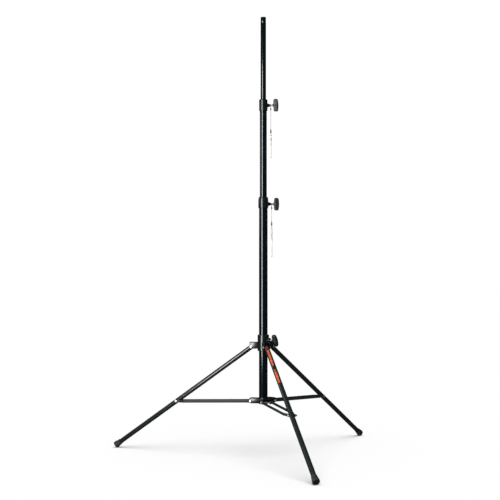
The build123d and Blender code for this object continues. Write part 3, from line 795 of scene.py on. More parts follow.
def locking_pin(name, reach):
    """Steel pin: flat tab with an eye, knurled sleeve and a long shank with a detent ball and taper."""
    tab_low, tab_high = -0.2086, -0.2001
    tab = bar(f"{name}_tab", (-0.004, -0.0015, tab_low), (0.004, 0.0015, tab_high))
    pick(tab, "EDGE", lambda middle, way: abs(way.y) > 0.9 and middle.z > tab_high - 1e-5)
    bpy.ops.mesh.bevel(offset=0.0028, segments=5, affect="EDGES")
    object_mode()
    soften(tab, 0.0003, 2)
    eye = begin(f"{name}_eye", bpy.ops.mesh.primitive_cylinder_add, vertices=24, radius=0.00225, depth=0.01,
                location=(0, 0, -0.20415), rotation=(math.pi / 2, 0, 0))
    cut(tab, eye)
    top, low = -0.2074, -0.2319
    radius = 0.00475
    outline = [(0.003, top), (radius - 0.0004, top), (radius, top - 0.001), (radius, top - 0.004)]
    grooves = 5
    for i in range(grooves):
        start = top - 0.005 - i * 0.0032
        outline += [(radius, start), (radius - 0.0006, start - 0.0005), (radius - 0.0006, start - 0.0013),
                    (radius, start - 0.0018)]
    outline += [(radius, low + 0.001), (radius - 0.0006, low), (0.003, low)]
    head = lathed(f"{name}_head", outline, 0.0003, 2, 32)
    end = -0.3409
    shank_radius = 0.0033
    outline = [
        (shank_radius, low + 0.001), (shank_radius, low - 0.0045), (shank_radius - 0.0003, low - 0.005),
        (shank_radius - 0.0003, low - 0.006), (shank_radius, low - 0.0065), (shank_radius, end + 0.012),
        (shank_radius - 0.0004, end + 0.0115), (shank_radius - 0.0004, end + 0.0105),
        (shank_radius, end + 0.010), (shank_radius, end + 0.004), (shank_radius - 0.0017, end + 0.0004),
        (0.0008, end),
    ]
    shank = lathed(f"{name}_shank", outline, 0.0003, 2, 32)
    ball = begin(f"{name}_ball", bpy.ops.mesh.primitive_uv_sphere_add, segments=16, ring_count=10,
                 radius=0.0011, location=(shank_radius - 0.0004, 0, end + 0.015))
    return moved(joined(name, head, tab, shank, ball), shifted(x=reach))


class STAND_OT_lanyards(bpy.types.Operator):
    """Two wire rope lanyards with crimped sleeves, split rings and locking pins"""

    bl_idname = "stand.lanyards"
    bl_label = "Lanyards and pins"

    def execute(self, context):
        for name, sizes in LANYARDS.items():
            place = on_clamp(name)
            reach, wire_end = sizes["reach"], sizes["wire_end"]
            route = wire_route(reach, wire_end, sizes["quarter"])
            wire, line = rope(f"{name}_wire_rope", route, (1, 0, 0), WIRE_DIAMETER)
            settle(wire, place, f"{name}_lanyard_wire")
            loops = f"{name}_lanyard_loops"
            screw_loop, _ = rope(f"{name}_screw_loop", screw_loop_route(reach), (1, 0, 0), WIRE_DIAMETER)
            settle(screw_loop, place, loops)
            pin_route = pin_loop_route(reach, wire_end)
            pin_loop, _ = rope(f"{name}_pin_loop", pin_route, (0, 1, 0), WIRE_DIAMETER)
            settle(pin_loop, place, loops)
            sleeves = f"{name}_lanyard_ferrules"
            upper = ferrule(f"{name}_upper_sleeve", 0.004, 0.004, reach, -FERRULE_TOP, FERRULE_LENGTH)
            settle(upper, place, sleeves)
            lower = ferrule(f"{name}_lower_sleeve", 0.0032, 0.0052, reach, -wire_end, BOOT_LENGTH)
            settle(lower, place, sleeves)
            settle(split_ring(f"{name}_split_ring", reach), place, f"{name}_pin_ring")
            settle(locking_pin(f"{name}_detent_pin", reach), place, f"{name}_locking_pin")
            place @ Vector(route[0])
            [place @ point for point in line]
        return {"FINISHED"}


# ---------------------------------------------------------------- mast
PIN_HOLE_RADIUS = 0.004
PIN_HOLE_SPACING = 0.25
PIN_HOLE_ABOVE_COLLAR = 0.008
PIN_HOLE_AZIMUTH = math.radians(100)
LOWER_TUBE_WALL = 0.0025
TUBE_WALL = 0.002
TUBE_EDGE = 0.0005


def pin_hole_cutters(first):
    """Three rods across the mast, where a locking pin goes through a tube."""
    for number in (-1, 0, 1):
        rod = begin("pin_hole", bpy.ops.mesh.primitive_cylinder_add, vertices=32, radius=PIN_HOLE_RADIUS,
                    depth=0.08)
        moved(rod, toward(PIN_HOLE_AZIMUTH) @ shifted(z=first + number * PIN_HOLE_SPACING) @ ALONG_X)
        yield rod


def tube_outline(node, radius, wall):
    """Closed section of a plain tube with its edges broken."""
    low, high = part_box(node)
    return rounded([(radius - wall, low.z), (radius, low.z), (radius, high.z), (radius - wall, high.z)],
                   TUBE_EDGE, 3, closed=True)


class STAND_OT_mast(bpy.types.Operator):
    """The three mast tubes with their pin holes, and the cap on the spigot"""

    bl_idname = "stand.mast"
    bl_label = "Mast tubes"

    def execute(self, context):
        segments = settings().details.segments
        lower_outline = tube_outline("lower_tube", LOWER_RADIUS, LOWER_TUBE_WALL)
        lower = turned("lower_mast_tube", lower_outline, segments, True)
        settle(lower, ORIGIN, "lower_tube")
        middle_outline = tube_outline("middle_tube", MIDDLE_RADIUS, TUBE_WALL)
        middle = turned("middle_mast_tube", middle_outline, segments, True)
        cut(middle, *pin_hole_cutters(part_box("middle_collar")[1].z + PIN_HOLE_ABOVE_COLLAR))
        settle(middle, ORIGIN, "middle_tube")
        low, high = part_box("top_tube")
        bore = TOP_RADIUS - TUBE_WALL
        spigot_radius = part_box("top_cap")[1].x
        spigot_low = high.z - 0.036
        groove = TOP_RADIUS - 0.0004
        section = [(bore, low.z), (TOP_RADIUS, low.z), (TOP_RADIUS, spigot_low - 0.0016),
                   (groove, spigot_low - 0.0015), (groove, spigot_low - 0.0001),
                   (spigot_radius, spigot_low), (spigot_radius, high.z), (bore, high.z)]
        top = lathed("top_mast_tube", section, 0.0003, 2, segments, True)
        cut(top, *pin_hole_cutters(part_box("upper_collar")[1].z + PIN_HOLE_ABOVE_COLLAR))
        settle(top, ORIGIN, "top_tube")
        cap_low, cap_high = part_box("top_cap")
        crown = [(bore * 0.9, cap_low.z), (bore - 0.0002, cap_low.z + 0.001), (bore - 0.0002, high.z),
                 (spigot_radius, high.z), (spigot_radius, cap_high.z - 0.0012),
                 (spigot_radius * 0.86, cap_high.z), (spigot_radius * 0.5, cap_high.z - 0.0006),
                 (spigot_radius * 0.12, cap_high.z - 0.0006)]
        cap = lathed("top_end_cap", crown, 0.0012, segments=segments)
        settle(cap, ORIGIN, "top_cap")
        return {"FINISHED"}


# ---------------------------------------------------------------- collars
BOSS_REACH = 0.0182
BOSS_BASE_RADIUS = 0.017
BOSS_TIP_RADIUS = 0.0075
BOSS_HOLLOW = 0.06  # of the radius, at mid length
MOUTH_GAP = 0.0007  # round a sliding tube
CORE_RADIUS = 0.008  # where a collar's outline starts; the bore takes this core away
CUT_SPARE = 0.01  # that a bore runs past the ends of what it cuts


def screw_boss(name, collar_radius):
    """Slightly hollow conical boss round a clamp screw, along x."""
    base, tip, reach = BOSS_BASE_RADIUS, BOSS_TIP_RADIUS, BOSS_REACH
    start, end = collar_radius - base / 2, collar_radius + reach
    steps = 12
    outline = [(base * 0.6, start)]
    for i in range(steps + 1):
        t = i / steps
        radius = (base + (tip - base) * t) * (1 - BOSS_HOLLOW * math.sin(math.pi * t))
        outline.append((radius, start + (end - start) * t))
    radius, height = outline.pop()
    outline += [(radius + 0.0002, height - 0.0008), (radius - 0.0005, height), (radius * 0.7, height)]
    boss = turned(name, outline, 48)
    return moved(boss, ALONG_X)


def bore_rod(name, radius, low, high, segments=96):
    """Plain rod about the mast's axis that cuts a bore."""
    rod = begin(name, bpy.ops.mesh.primitive_cylinder_add, vertices=segments, radius=radius, depth=high - low,
                location=(0, 0, (low + high) / 2))
    return rod


def collar(name, node, clamp, outline, bore, mouth, rim, boss):
    """Collar turned to its outline, with its boss, the fixed tube's bore and the sliding tube's mouth."""
    low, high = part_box(node)
    body = lathed(name, outline, 0.0014, segments=96)
    unite(body, moved(boss, on_clamp(clamp)))
    start, end = low.z - CUT_SPARE, high.z + CUT_SPARE
    cut(body, bore_rod("bore", bore, start, rim), bore_rod("mouth", mouth, start, end))
    settle(body, ORIGIN, node)


class STAND_OT_collars(bpy.types.Operator):
    """The two cast collars that carry the clamp screws of the sliding tubes"""

    bl_idname = "stand.collars"
    bl_label = "Collars"

    def execute(self, context):
        low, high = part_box("upper_collar")
        radius = high.y
        chamfer = 0.004
        outline = [(CORE_RADIUS, low.z), (radius, low.z), (radius, high.z - chamfer),
                   (radius - chamfer, high.z), (CORE_RADIUS, high.z)]
        rim = (high.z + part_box("middle_tube")[1].z) / 2
        collar("upper_collar_casting", "upper_collar", "upper", outline, MIDDLE_RADIUS,
               TOP_RADIUS + MOUTH_GAP, rim, screw_boss("boss", radius))
        low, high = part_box("middle_collar")
        radius = high.y
        shoulder = 0.016
        outline = [(CORE_RADIUS, low.z), (radius, low.z), (radius, high.z - shoulder),
                   (LOWER_RADIUS + 0.0015, high.z - 0.0015), (MIDDLE_RADIUS + 0.0037, high.z),
                   (CORE_RADIUS, high.z)]
        rim = (high.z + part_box("lower_tube")[1].z) / 2
        collar("middle_collar_casting", "middle_collar", "middle", outline, LOWER_RADIUS,
               MIDDLE_RADIUS + MOUTH_GAP, rim, screw_boss("boss", radius))
        return {"FINISHED"}


# ---------------------------------------------------------------- clamps
KNOB_DEPTH = 0.036
KNOB_LENGTH = 0.080
KNOB_WIDTH = 0.020
KNOB_CENTRE_RADIUS = 0.014
SCREW_RADIUS = 0.005


def wing_knob(name):
    """Wing knob along x: a crowned grip with long ribs, a round hub and a steel insert's collar."""
    inner, half_width, half = 0.0055, KNOB_WIDTH / 2, KNOB_LENGTH / 2
    grip = bar(f"{name}_grip", (inner, -half_width, -half), (KNOB_DEPTH, half_width, half))
    for height in (-0.028, -0.013, 0.013, 0.028):
        pick(grip, "VERT", everything)
        bpy.ops.mesh.bisect(plane_co=(0, 0, height), plane_no=(0, 0, 1))
    crown = {0.028: -0.0016, 0.04: -0.0046}
    for height, drop in crown.items():
        pick(grip, "VERT", lambda at, _, z=height: abs(abs(at.z) - z) < 1e-4 and at.x > 0.03)
        bpy.ops.transform.translate(value=(drop, 0, 0))
    pick(grip, "VERT", lambda at, _: abs(at.z) > 0.039 and at.x < 0.01)
    bpy.ops.transform.translate(value=(0.003, 0, 0))
    pick(grip, "VERT", lambda at, _: abs(at.z) < 0.014)
    bpy.ops.transform.resize(value=(1, 1.22, 1), center_override=(0, 0, 0))
    object_mode()
    soften(grip, 0.0052, 5, 50.0)
    outline = [(0.0055, 0.0), (0.0085, 0.0), (0.0102, 0.0035), (KNOB_CENTRE_RADIUS - 0.0005, 0.009),
               (KNOB_CENTRE_RADIUS, 0.020), (0.0132, KNOB_DEPTH - 0.003), (0.0105, KNOB_DEPTH),
               (0.002, KNOB_DEPTH + 0.0003)]
    hub = moved(lathed(f"{name}_hub", outline, 0.002, segments=40), ALONG_X)
    ribs = bar(f"{name}_ribs", (0.0125, half_width - 0.001, -0.0345), (0.0139, half_width + 0.0007, -0.0165))
    soften(ribs, 0.0005, 2)
    apply(ribs, "ARRAY", count=6, use_relative_offset=False, use_constant_offset=True,
          constant_offset_displace=(0.0031, 0, 0))
    apply(ribs, "MIRROR", use_axis=(False, True, True), use_mirror_merge=False)
    tidy(ribs)
    return joined(name, grip, hub, ribs)


def threaded_screw(name, start, thread_start, thread_end, end):
    """Clamp screw along x: a core, a rolled thread over its open length and a flat washer face."""
    pitch = settings().details.thread_pitch
    core = SCREW_RADIUS - pitch * 0.55
    outline = [(0.001, start), (0.0034, start), (core, start + 0.001),
               (core, end - 0.0005), (core - 0.0005, end), (0.001, end)]
    body = lathed(f"{name}_core", outline, 0.0003, 2, 32)
    turns = int((thread_end - thread_start) / pitch) - 1
    flank = begin(f"{name}_thread", bpy.ops.mesh.primitive_circle_add, vertices=3, radius=pitch * 0.5,
                  rotation=(math.pi / 2, 0, 0))
    pick(flank, "VERT", everything)
    bpy.ops.transform.rotate(value=-math.pi / 2, orient_axis="Y", center_override=(0, 0, 0))
    bpy.ops.transform.translate(value=(core + pitch * 0.2, 0, thread_start + pitch))
    object_mode()
    reach = max(vertex.co.x for vertex in flank.data.vertices)
    pick(flank, "VERT", everything)
    bpy.ops.transform.translate(value=(SCREW_RADIUS - reach, 0, 0))
    object_mode()
    apply(flank, "SCREW", angle=2 * math.pi, screw_offset=pitch, iterations=turns, steps=28, render_steps=28,
          use_merge_vertices=False)
    tidy(flank)
    return moved(joined(name, body, flank), ALONG_X)


class STAND_OT_clamps(bpy.types.Operator):
    """Three wing knobs on threaded clamp screws"""

    bl_idname = "stand.clamps"
    bl_label = "Clamp screws and knobs"

    def execute(self, context):
        bosses = {"upper": "upper_collar", "middle": "middle_collar", "hub": "leg_hub_sleeve"}
        for name, casting in bosses.items():
            place = on_clamp(name)
            turn = Matrix.Rotation(KNOB_TURNS[name], 4, "X")
            knob_start = extent(f"{name}_knob", place)[0].x
            knob = moved(wing_knob(f"{name}_wing_knob"), shifted(x=knob_start))
            settle(moved(knob, turn), place, f"{name}_knob")
            low, high = extent(f"{name}_clamp_screw", place)
            boss_end = knob_start - 0.016
            screw = threaded_screw(f"{name}_m10_screw", low.x, boss_end - 0.004, knob_start + 0.004, high.x)
            settle(screw, place, f"{name}_clamp_screw")
        return {"FINISHED"}


# ---------------------------------------------------------------- hubs
def folded_bracket(name, half_width, thickness, start, end, low, high, eye):
    """Channel of folded plate about a pivot at (PIVOT_RADIUS, 0): two cheeks with rounded eyes
    and a top. Heights are from the pivot. The plate grows inwards from the outer faces."""
    body = bar(name, (start, -half_width, low), (end, half_width, high))
    pick(body, "FACE", lambda _, normal: normal.z < -0.9 or abs(normal.x) > 0.9)
    bpy.ops.mesh.delete(type="FACE")
    pick(body, "EDGE", lambda middle, way: abs(way.x) > 0.9 and middle.z > high - 1e-5)
    bpy.ops.mesh.bevel(offset=thickness * 1.3, segments=5, affect="EDGES")
    pick(body, "VERT", lambda at, _: at.x > end - 1e-5 and at.z < low + 1e-5)
    bpy.ops.mesh.bevel(offset=eye, segments=10, affect="VERTICES")
    pick(body, "FACE", everything)
    bpy.ops.mesh.normals_make_consistent(inside=False)
    object_mode()
    if body.data.polygons[0].normal.dot(body.data.polygons[0].center - Vector((start, 0, 0))) < 0:
        body.data.flip_normals()
    apply(body, "SOLIDIFY", thickness=thickness, offset=-1.0, use_even_offset=True)
    soften(body, settings().details.edge_radius, 3)
    return body


LEG_BRACKET_HALF = 0.021
LEG_BRACKET_PLATE = 0.004
LEG_BRACKET_TOP = 0.0305  # above the pivot
BRACE_ARM_HALF = 0.029
BRACE_ARM_PLATE = 0.0035
BRACE_BOLT_SEAT = 0.033  # outside the strips, which run outside the arms
BOLT_RADIUS = 0.004
WASHER_RADIUS = 0.0082
WASHER_THICKNESS = 0.0012


def hex_bolt(name, seat, grip_low):
    """Bolt along y through a bracket: flanged hexagon head, washers, lock nut and thread end."""
    radius = BOLT_RADIUS
    shaft = [(0.001, grip_low - 0.0078), (radius - 0.0008, grip_low - 0.0078), (radius, grip_low - 0.0070),
             (radius, seat + 0.001), (0.001, seat + 0.001)]
    pieces = [lathed(f"{name}_rod", shaft, 0.0002, 2, 24)]
    washer = [(radius, 0.0), (WASHER_RADIUS, 0.0),
              (WASHER_RADIUS, WASHER_THICKNESS), (radius, WASHER_THICKNESS)]
    for height in (seat, grip_low - WASHER_THICKNESS):
        pieces.append(moved(lathed(f"{name}_washer", washer, 0.0004, 3, 32, True), shifted(z=height)))
    head = (seat + WASHER_THICKNESS, seat + 0.0054, 0.0068)
    nut = (grip_low - 0.0058, grip_low - WASHER_THICKNESS, 0.0072)
    for low, high, across in (head, nut):
        hexagon = begin(f"{name}_hexagon", bpy.ops.mesh.primitive_cylinder_add, vertices=6, radius=across,
                        depth=high - low, location=(0, 0, (low + high) / 2))
        outer = high if low > 0 else low
        pick(hexagon, "FACE",
             lambda middle, normal, z=outer: abs(middle.z - z) < 1e-5 and abs(normal.z) > 0.9)
        bpy.ops.mesh.inset(thickness=across * 0.12, depth=0.0005)
        object_mode()
        soften(hexagon, 0.0003, 2)
        pieces.append(hexagon)
    ring = [(0.0045, 0.0), (0.0058, 0.0), (0.0054, 0.0018), (0.0042, 0.0018)]
    lock_place = shifted(z=nut[0]) @ Matrix.Scale(-1, 4, (0, 0, 1))
    pieces.append(moved(lathed(f"{name}_lock", ring, 0.0005, 3, 32, True), lock_place))
    return moved(joined(name, *pieces), ALONG_Y)


class STAND_OT_leg_hub(bpy.types.Operator):
    """The sliding leg hub: its sleeve, three folded brackets and the pivot bolts"""

    bl_idname = "stand.leg_hub"
    bl_label = "Leg hub"

    def execute(self, context):
        low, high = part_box("leg_hub_sleeve")
        radius = 0.0365
        bore = 0.0295
        outline = [(0.010, low.z), (radius, low.z), (radius, high.z), (0.010, high.z)]
        sleeve = lathed("leg_hub_casting", outline, 0.0026, 5, 96)
        boss_outline = [(0.0165, 0.030), (0.0165, radius + 0.0125), (0.0075, radius + 0.013)]
        boss = moved(lathed("boss", boss_outline, 0.0018), ALONG_X)
        unite(sleeve, moved(boss, on_clamp("hub")))
        for height in (low.z + 0.010, high.z - 0.008):
            ring = [(radius + 0.003, height + 0.0009), (radius - 0.0007, height + 0.0004),
                    (radius - 0.0007, height - 0.0004), (radius + 0.003, height - 0.0009)]
            cut(sleeve, turned("groove", ring, 96, True))
        cut(sleeve, bore_rod("bore", bore, low.z - CUT_SPARE, high.z + CUT_SPARE))
        settle(sleeve, ORIGIN, "leg_hub_sleeve")
        eye, root = 0.0115, 0.0345
        for leg, azimuth in LEGS.items():
            place = toward(azimuth) @ shifted(z=LEG_PIVOT_HEIGHT)
            bracket = folded_bracket(f"{leg}_leg_bracket", LEG_BRACKET_HALF, LEG_BRACKET_PLATE, root,
                                     PIVOT_RADIUS + eye * 0.9, -eye, LEG_BRACKET_TOP, eye * 0.95)
            settle(bracket, place, "leg_hub_sleeve")
            bolt = hex_bolt(f"{leg}_leg_pivot_bolt", LEG_BRACKET_HALF, -LEG_BRACKET_HALF)
            moved(bolt, shifted(x=PIVOT_RADIUS))
            settle(bolt, place, "leg_pivot_bolts")
        return {"FINISHED"}


class STAND_OT_brace_hub(bpy.types.Operator):
    """The brace hub on the mast's foot: its ring, three folded arms and the pivot bolts"""

    bl_idname = "stand.brace_hub"
    bl_label = "Brace hub"

    def execute(self, context):
        low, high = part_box("brace_hub")
        radius, top = 0.032, high.z + 0.004
        outline = [(LOWER_RADIUS, low.z), (radius, low.z), (radius, top), (LOWER_RADIUS, top)]
        ring = lathed("brace_hub_ring", outline, 0.0016, 4, 96, True)
        settle(ring, ORIGIN, "brace_hub")
        eye, root = 0.011, 0.017
        for leg, azimuth in LEGS.items():
            place = toward(azimuth) @ shifted(z=BRACE_PIVOT_HEIGHT)
            arm = folded_bracket(f"{leg}_brace_arm", BRACE_ARM_HALF, BRACE_ARM_PLATE, root,
                                 PIVOT_RADIUS + eye * 0.9, low.z - BRACE_PIVOT_HEIGHT,
                                 high.z - BRACE_PIVOT_HEIGHT, eye)
            settle(arm, place, "brace_hub")
            bolt = hex_bolt(f"{leg}_brace_pivot_bolt", BRACE_BOLT_SEAT, -BRACE_BOLT_SEAT)
            moved(bolt, shifted(x=PIVOT_RADIUS))
            settle(bolt, place, "brace_hub_bolts")
        return {"FINISHED"}


# ---------------------------------------------------------------- legs
LEG_RADIUS = 0.015
LEG_BORE = 0.0135
FOOT_RADIUS = 0.022
FOOT_TOP_RADIUS = 0.0168
FOOT_LENGTH = 0.045
FLOOR = 0.0


def rubber_foot(name, end):
    """Boot on the leg's end: rolled lip, three grip rings, a flared skirt and a rounded sole."""
    top = end + FOOT_LENGTH
    lip = FOOT_TOP_RADIUS + 0.0006
    outline = [(LEG_RADIUS - 0.001, top - 0.0005), (lip, top), (lip, top - 0.0028)]
    for number in range(3):
        height = top - 0.0045 - number * 0.006
        flare = FOOT_TOP_RADIUS + (FOOT_RADIUS - FOOT_TOP_RADIUS) * (top - height) / (FOOT_LENGTH - 0.012)
        outline += [(flare - 0.0009, height), (flare - 0.0009, height - 0.0014), (flare, height - 0.0024),
                    (flare + 0.0004, height - 0.0046)]
    outline += [(FOOT_RADIUS - 0.0012, end + 0.017), (FOOT_RADIUS, end + 0.011), (FOOT_RADIUS, end)]
    outline += [(0.006, end)]
    return lathed(name, outline, 0.006, 6, 64)


class STAND_OT_legs(bpy.types.Operator):
    """The three legs: tubes, end caps and rubber feet that rest flat on the floor"""

    bl_idname = "stand.legs"
    bl_label = "Legs and feet"

    def execute(self, context):
        front = on_leg(LEGS["front"])
        tube_low, tube_high = (corner.z for corner in extent("front_leg_tube", front))
        foot_end = tube_high - 1.153
        for leg, azimuth in LEGS.items():
            place = on_leg(azimuth)
            section = [(LEG_BORE, tube_low), (LEG_RADIUS, tube_low), (LEG_RADIUS, tube_high),
                       (LEG_BORE, tube_high)]
            tube = lathed(f"{leg}_leg_pipe", section, TUBE_EDGE, 3, 64, True)
            # the legs take the lighter copy of the tube coat, which carries painted light
            settle(tube, place, f"{leg}_leg_tube", "lit_leg_coat")
            crown = [(LEG_BORE * 0.9, tube_high - 0.009), (LEG_BORE - 0.0002, tube_high - 0.008),
                     (LEG_BORE - 0.0002, tube_high), (LEG_RADIUS, tube_high),
                     (LEG_RADIUS, tube_high + 0.0012), (LEG_RADIUS * 0.7, tube_high + 0.0025),
                     (LEG_RADIUS * 0.2, tube_high + 0.0025)]
            cap = lathed(f"{leg}_leg_end_cap", crown, 0.0012)
            settle(cap, place, f"{leg}_leg_plug")
            foot = rubber_foot(f"{leg}_rubber_foot", foot_end)
            settle(foot, place, f"{leg}_foot")
            pick(foot, "VERT", everything)
            bpy.ops.mesh.bisect(plane_co=(0, 0, FLOOR), plane_no=(0, 0, 1), clear_inner=True, use_fill=True)
            object_mode()
        return {"FINISHED"}


# ---------------------------------------------------------------- braces
STRIP_HEIGHT = 0.016
STRIP_THICKNESS = 0.003
STRIP_AT_HUB = 0.0295
STRIP_AT_LEG = 0.018
JOGGLE_START = 0.056
JOGGLE_END = 0.028


def brace_strip(name, side):
    """Flat strip: straight from the hub, joggled in to the leg, with rounded ends."""
    half = STRIP_HEIGHT / 2
    outer = STRIP_AT_HUB + STRIP_THICKNESS
    strip = bar(name, (-half, STRIP_AT_HUB, -half), (BRACE_LENGTH + half, outer, half))
    bend_out, bend_in = BRACE_LENGTH - JOGGLE_START, BRACE_LENGTH - JOGGLE_END
    for place in (bend_out, bend_in):
        pick(strip, "VERT", everything)
        bpy.ops.mesh.bisect(plane_co=(place, 0, 0), plane_no=(1, 0, 0))
    pick(strip, "VERT", lambda at, _: at.x > bend_in - 1e-5)
    bpy.ops.transform.translate(value=(0, STRIP_AT_LEG - STRIP_AT_HUB, 0))
    pick(strip, "EDGE", lambda middle, way: abs(way.z) > 0.9 and bend_out - 1e-4 < middle.x < bend_in + 1e-4)
    bpy.ops.mesh.bevel(offset=0.004, segments=4, affect="EDGES")
    pick(strip, "EDGE", lambda middle, way: abs(way.y) > 0.9 and not 0 < middle.x < BRACE_LENGTH)
    bpy.ops.mesh.bevel(offset=half * 0.97, segments=9, affect="EDGES")
    object_mode()
    soften(strip, 0.0004, 2)
    return strip if side > 0 else moved(strip, Matrix.Scale(-1, 4, (0, 1, 0)))


class STAND_OT_braces(bpy.types.Operator):
    """Three pairs of brace strips with their bolts at the legs"""

    bl_idname = "stand.braces"
    bl_label = "Braces"

    def execute(self, context):
        for leg, azimuth in LEGS.items():
            place = on_brace(azimuth)
            for letter, side in (("a", 1), ("b", -1)):
                strip = brace_strip(f"{leg}_brace_bar_{letter}", side)
                settle(strip, place, f"{leg}_brace_strip_{letter}")
            outer = STRIP_AT_LEG + STRIP_THICKNESS
            bolt = moved(brace_leg_bolt(f"{leg}_brace_leg_bolt", outer), shifted(x=BRACE_LENGTH))
            settle(bolt, place, f"{leg}_brace_bolt")
        return {"FINISHED"}


def brace_leg_bolt(name, outer):
    """Bolt at the leg: a domed head outside one strip, and a nut with its thread end outside the other.
    Both shafts end at the strips' inner faces, where the fold lets the leg pass."""
    radius, inner = BOLT_RADIUS, STRIP_AT_LEG
    washer_top = outer + WASHER_THICKNESS
    washer = [(radius - 0.0002, outer), (WASHER_RADIUS, outer), (WASHER_RADIUS, washer_top),
              (radius - 0.0002, washer_top)]
    nut_height = 0.0056
    nut_end = washer_top + nut_height
    shaft = [(0.001, inner), (radius, inner), (radius, nut_end + 0.004), (radius - 0.0008, nut_end + 0.005),
             (0.001, nut_end + 0.005)]
    tail = lathed(f"{name}_tail", shaft, 0.0003, 2, 24)
    nut_washer = lathed(f"{name}_nut_washer", washer, 0.0004, 3, 32, True)
    nut = begin(f"{name}_nut", bpy.ops.mesh.primitive_cylinder_add, vertices=6, radius=0.0075,
                depth=nut_height, location=(0, 0, nut_end - nut_height / 2))
    pick(nut, "FACE", lambda middle, normal: normal.z > 0.9)
    bpy.ops.mesh.inset(thickness=0.0009, depth=0.0005)
    object_mode()
    soften(nut, 0.0003, 2)
    dome = [(0.001, -inner), (radius, -inner), (radius, -outer), (0.0068, -outer), (0.0068, -outer - 0.0018),
            (0.0052, -outer - 0.0042), (0.0025, -outer - 0.0052), (0.0008, -outer - 0.0053)]
    head = lathed(f"{name}_head", dome, 0.0006, 3, 32)
    return moved(joined(name, head, tail, nut_washer, nut), ALONG_Y)


# ---------------------------------------------------------------- printed marks
class STAND_OT_marks(bpy.types.Operator):
    """Plain printed bars along the front leg"""

    bl_idname = "stand.marks"
    bl_label = "Printed marks"

    def execute(self, context):
        printed_block("front_leg_block", [(0.005, 0.030)], -66, 8, "oxide_ink")
        printed_block("front_leg_upper_bars", printed_bars(0.044, 0.190), -52, -4, "orange_ink")
        printed_block("front_leg_dot", [(0.227, 0.235)], -44, -14, "orange_ink")
        printed_block("front_leg_lower_bars", printed_bars(0.247, 0.345), -52, -4, "orange_ink")
        return {"FINISHED"}


PRINT_BAR_LENGTHS = (0.0085, 0.004, 0.007, 0.0055, 0.010)
PRINT_GAP = 0.0038


def printed_bars(start, end):
    """Bars of mixed length, from start to end, as distances from the pivot along the leg."""
    bars, number = [], 0
    while start < end:
        length = PRINT_BAR_LENGTHS[number % len(PRINT_BAR_LENGTHS)]
        bars.append((start, min(start + length, end)))
        start += length + PRINT_GAP
        number += 1
    return bars


def printed_block(name, spans, first, last, ink):
    """Film of ink on the front leg's tube: an arc in degrees round the leg, at each span along it."""
    films = []
    for near, far in spans:
        film = begin(name, bpy.ops.mesh.primitive_cylinder_add, vertices=180, radius=LEG_RADIUS + 0.00006,
                     depth=far - near, end_fill_type="NOTHING", location=(0, 0, -(near + far) / 2))
        pick(film, "FACE", lambda middle, _: not first < math.degrees(math.atan2(middle.y, middle.x)) < last)
        bpy.ops.mesh.delete(type="FACE")
        object_mode()
        apply(film, "SOLIDIFY", thickness=0.00008, offset=1.0)
        tidy(film)
        films.append(film)
    # a mark takes its ink, and not a slot of the record
    dress(joined(name, *films), on_leg(LEGS["front"]), ink, "front_leg_tube")


# ---------------------------------------------------------------- CAD nodes that stay, and the stage
class STAND_OT_inner_parts(bpy.types.Operator):
    """Finishes for the bushes, guides, liners and shoes that stay as they are in the frame"""

    bl_idname = "stand.inner_parts"
    bl_label = "Inner parts"

    def execute(self, context):
        for node in frame["nodes"].values():
            if not node.hide_render:
                slot = node.data.materials[0].name
                node.material_slots[0].material = FINISHES[slot]
        return {"FINISHED"}


class STAND_OT_finishes(bpy.types.Operator):
    """The procedural material of each slot"""

    bl_idname = "stand.finishes"
    bl_label = "Finishes"

    def execute(self, context):
        FINISHES.update(make_finishes())
        return {"FINISHED"}


CAMERA_PLACE = Vector((-1.7377, -5.8811, 1.0794))
CAMERA_HEADING = 0.2873  # from +Y towards +X
CAMERA_PITCH = 0.0345
CAMERA_LENS = 69.16
CAMERA_SHIFT = -0.0266
SKY_WHITE = 1.02  # what the camera sees behind the stand
SKY_LIGHT = 0.4
SHADE_LEVEL = 0.035  # what the room gives to reflections
SUN_STRENGTH = 2.6
SUN_ANGLE = math.radians(70)
SOFTBOX_BEARING = math.radians(35)  # from the camera's side of the mast
SOFTBOX_DISTANCE = 3.0
SOFTBOX_HEIGHT = 1.8


def added(name, data):
    """Puts an object with this data into the scene."""
    thing = bpy.data.objects.new(name, data)
    bpy.context.scene.collection.objects.link(thing)
    return thing


def facing(direction):
    """Rotation of a light that shines along a direction."""
    return direction.to_track_quat("-Z", "Y").to_euler()


def area_light(name, width, height, power, place, aim):
    data = bpy.data.lights.new(name, "AREA")
    data.shape = "RECTANGLE"
    data.size = width
    data.size_y = height
    data.energy = power
    light = added(name, data)
    light.location = place
    light.rotation_euler = facing(Vector(aim) - Vector(place))
    return light


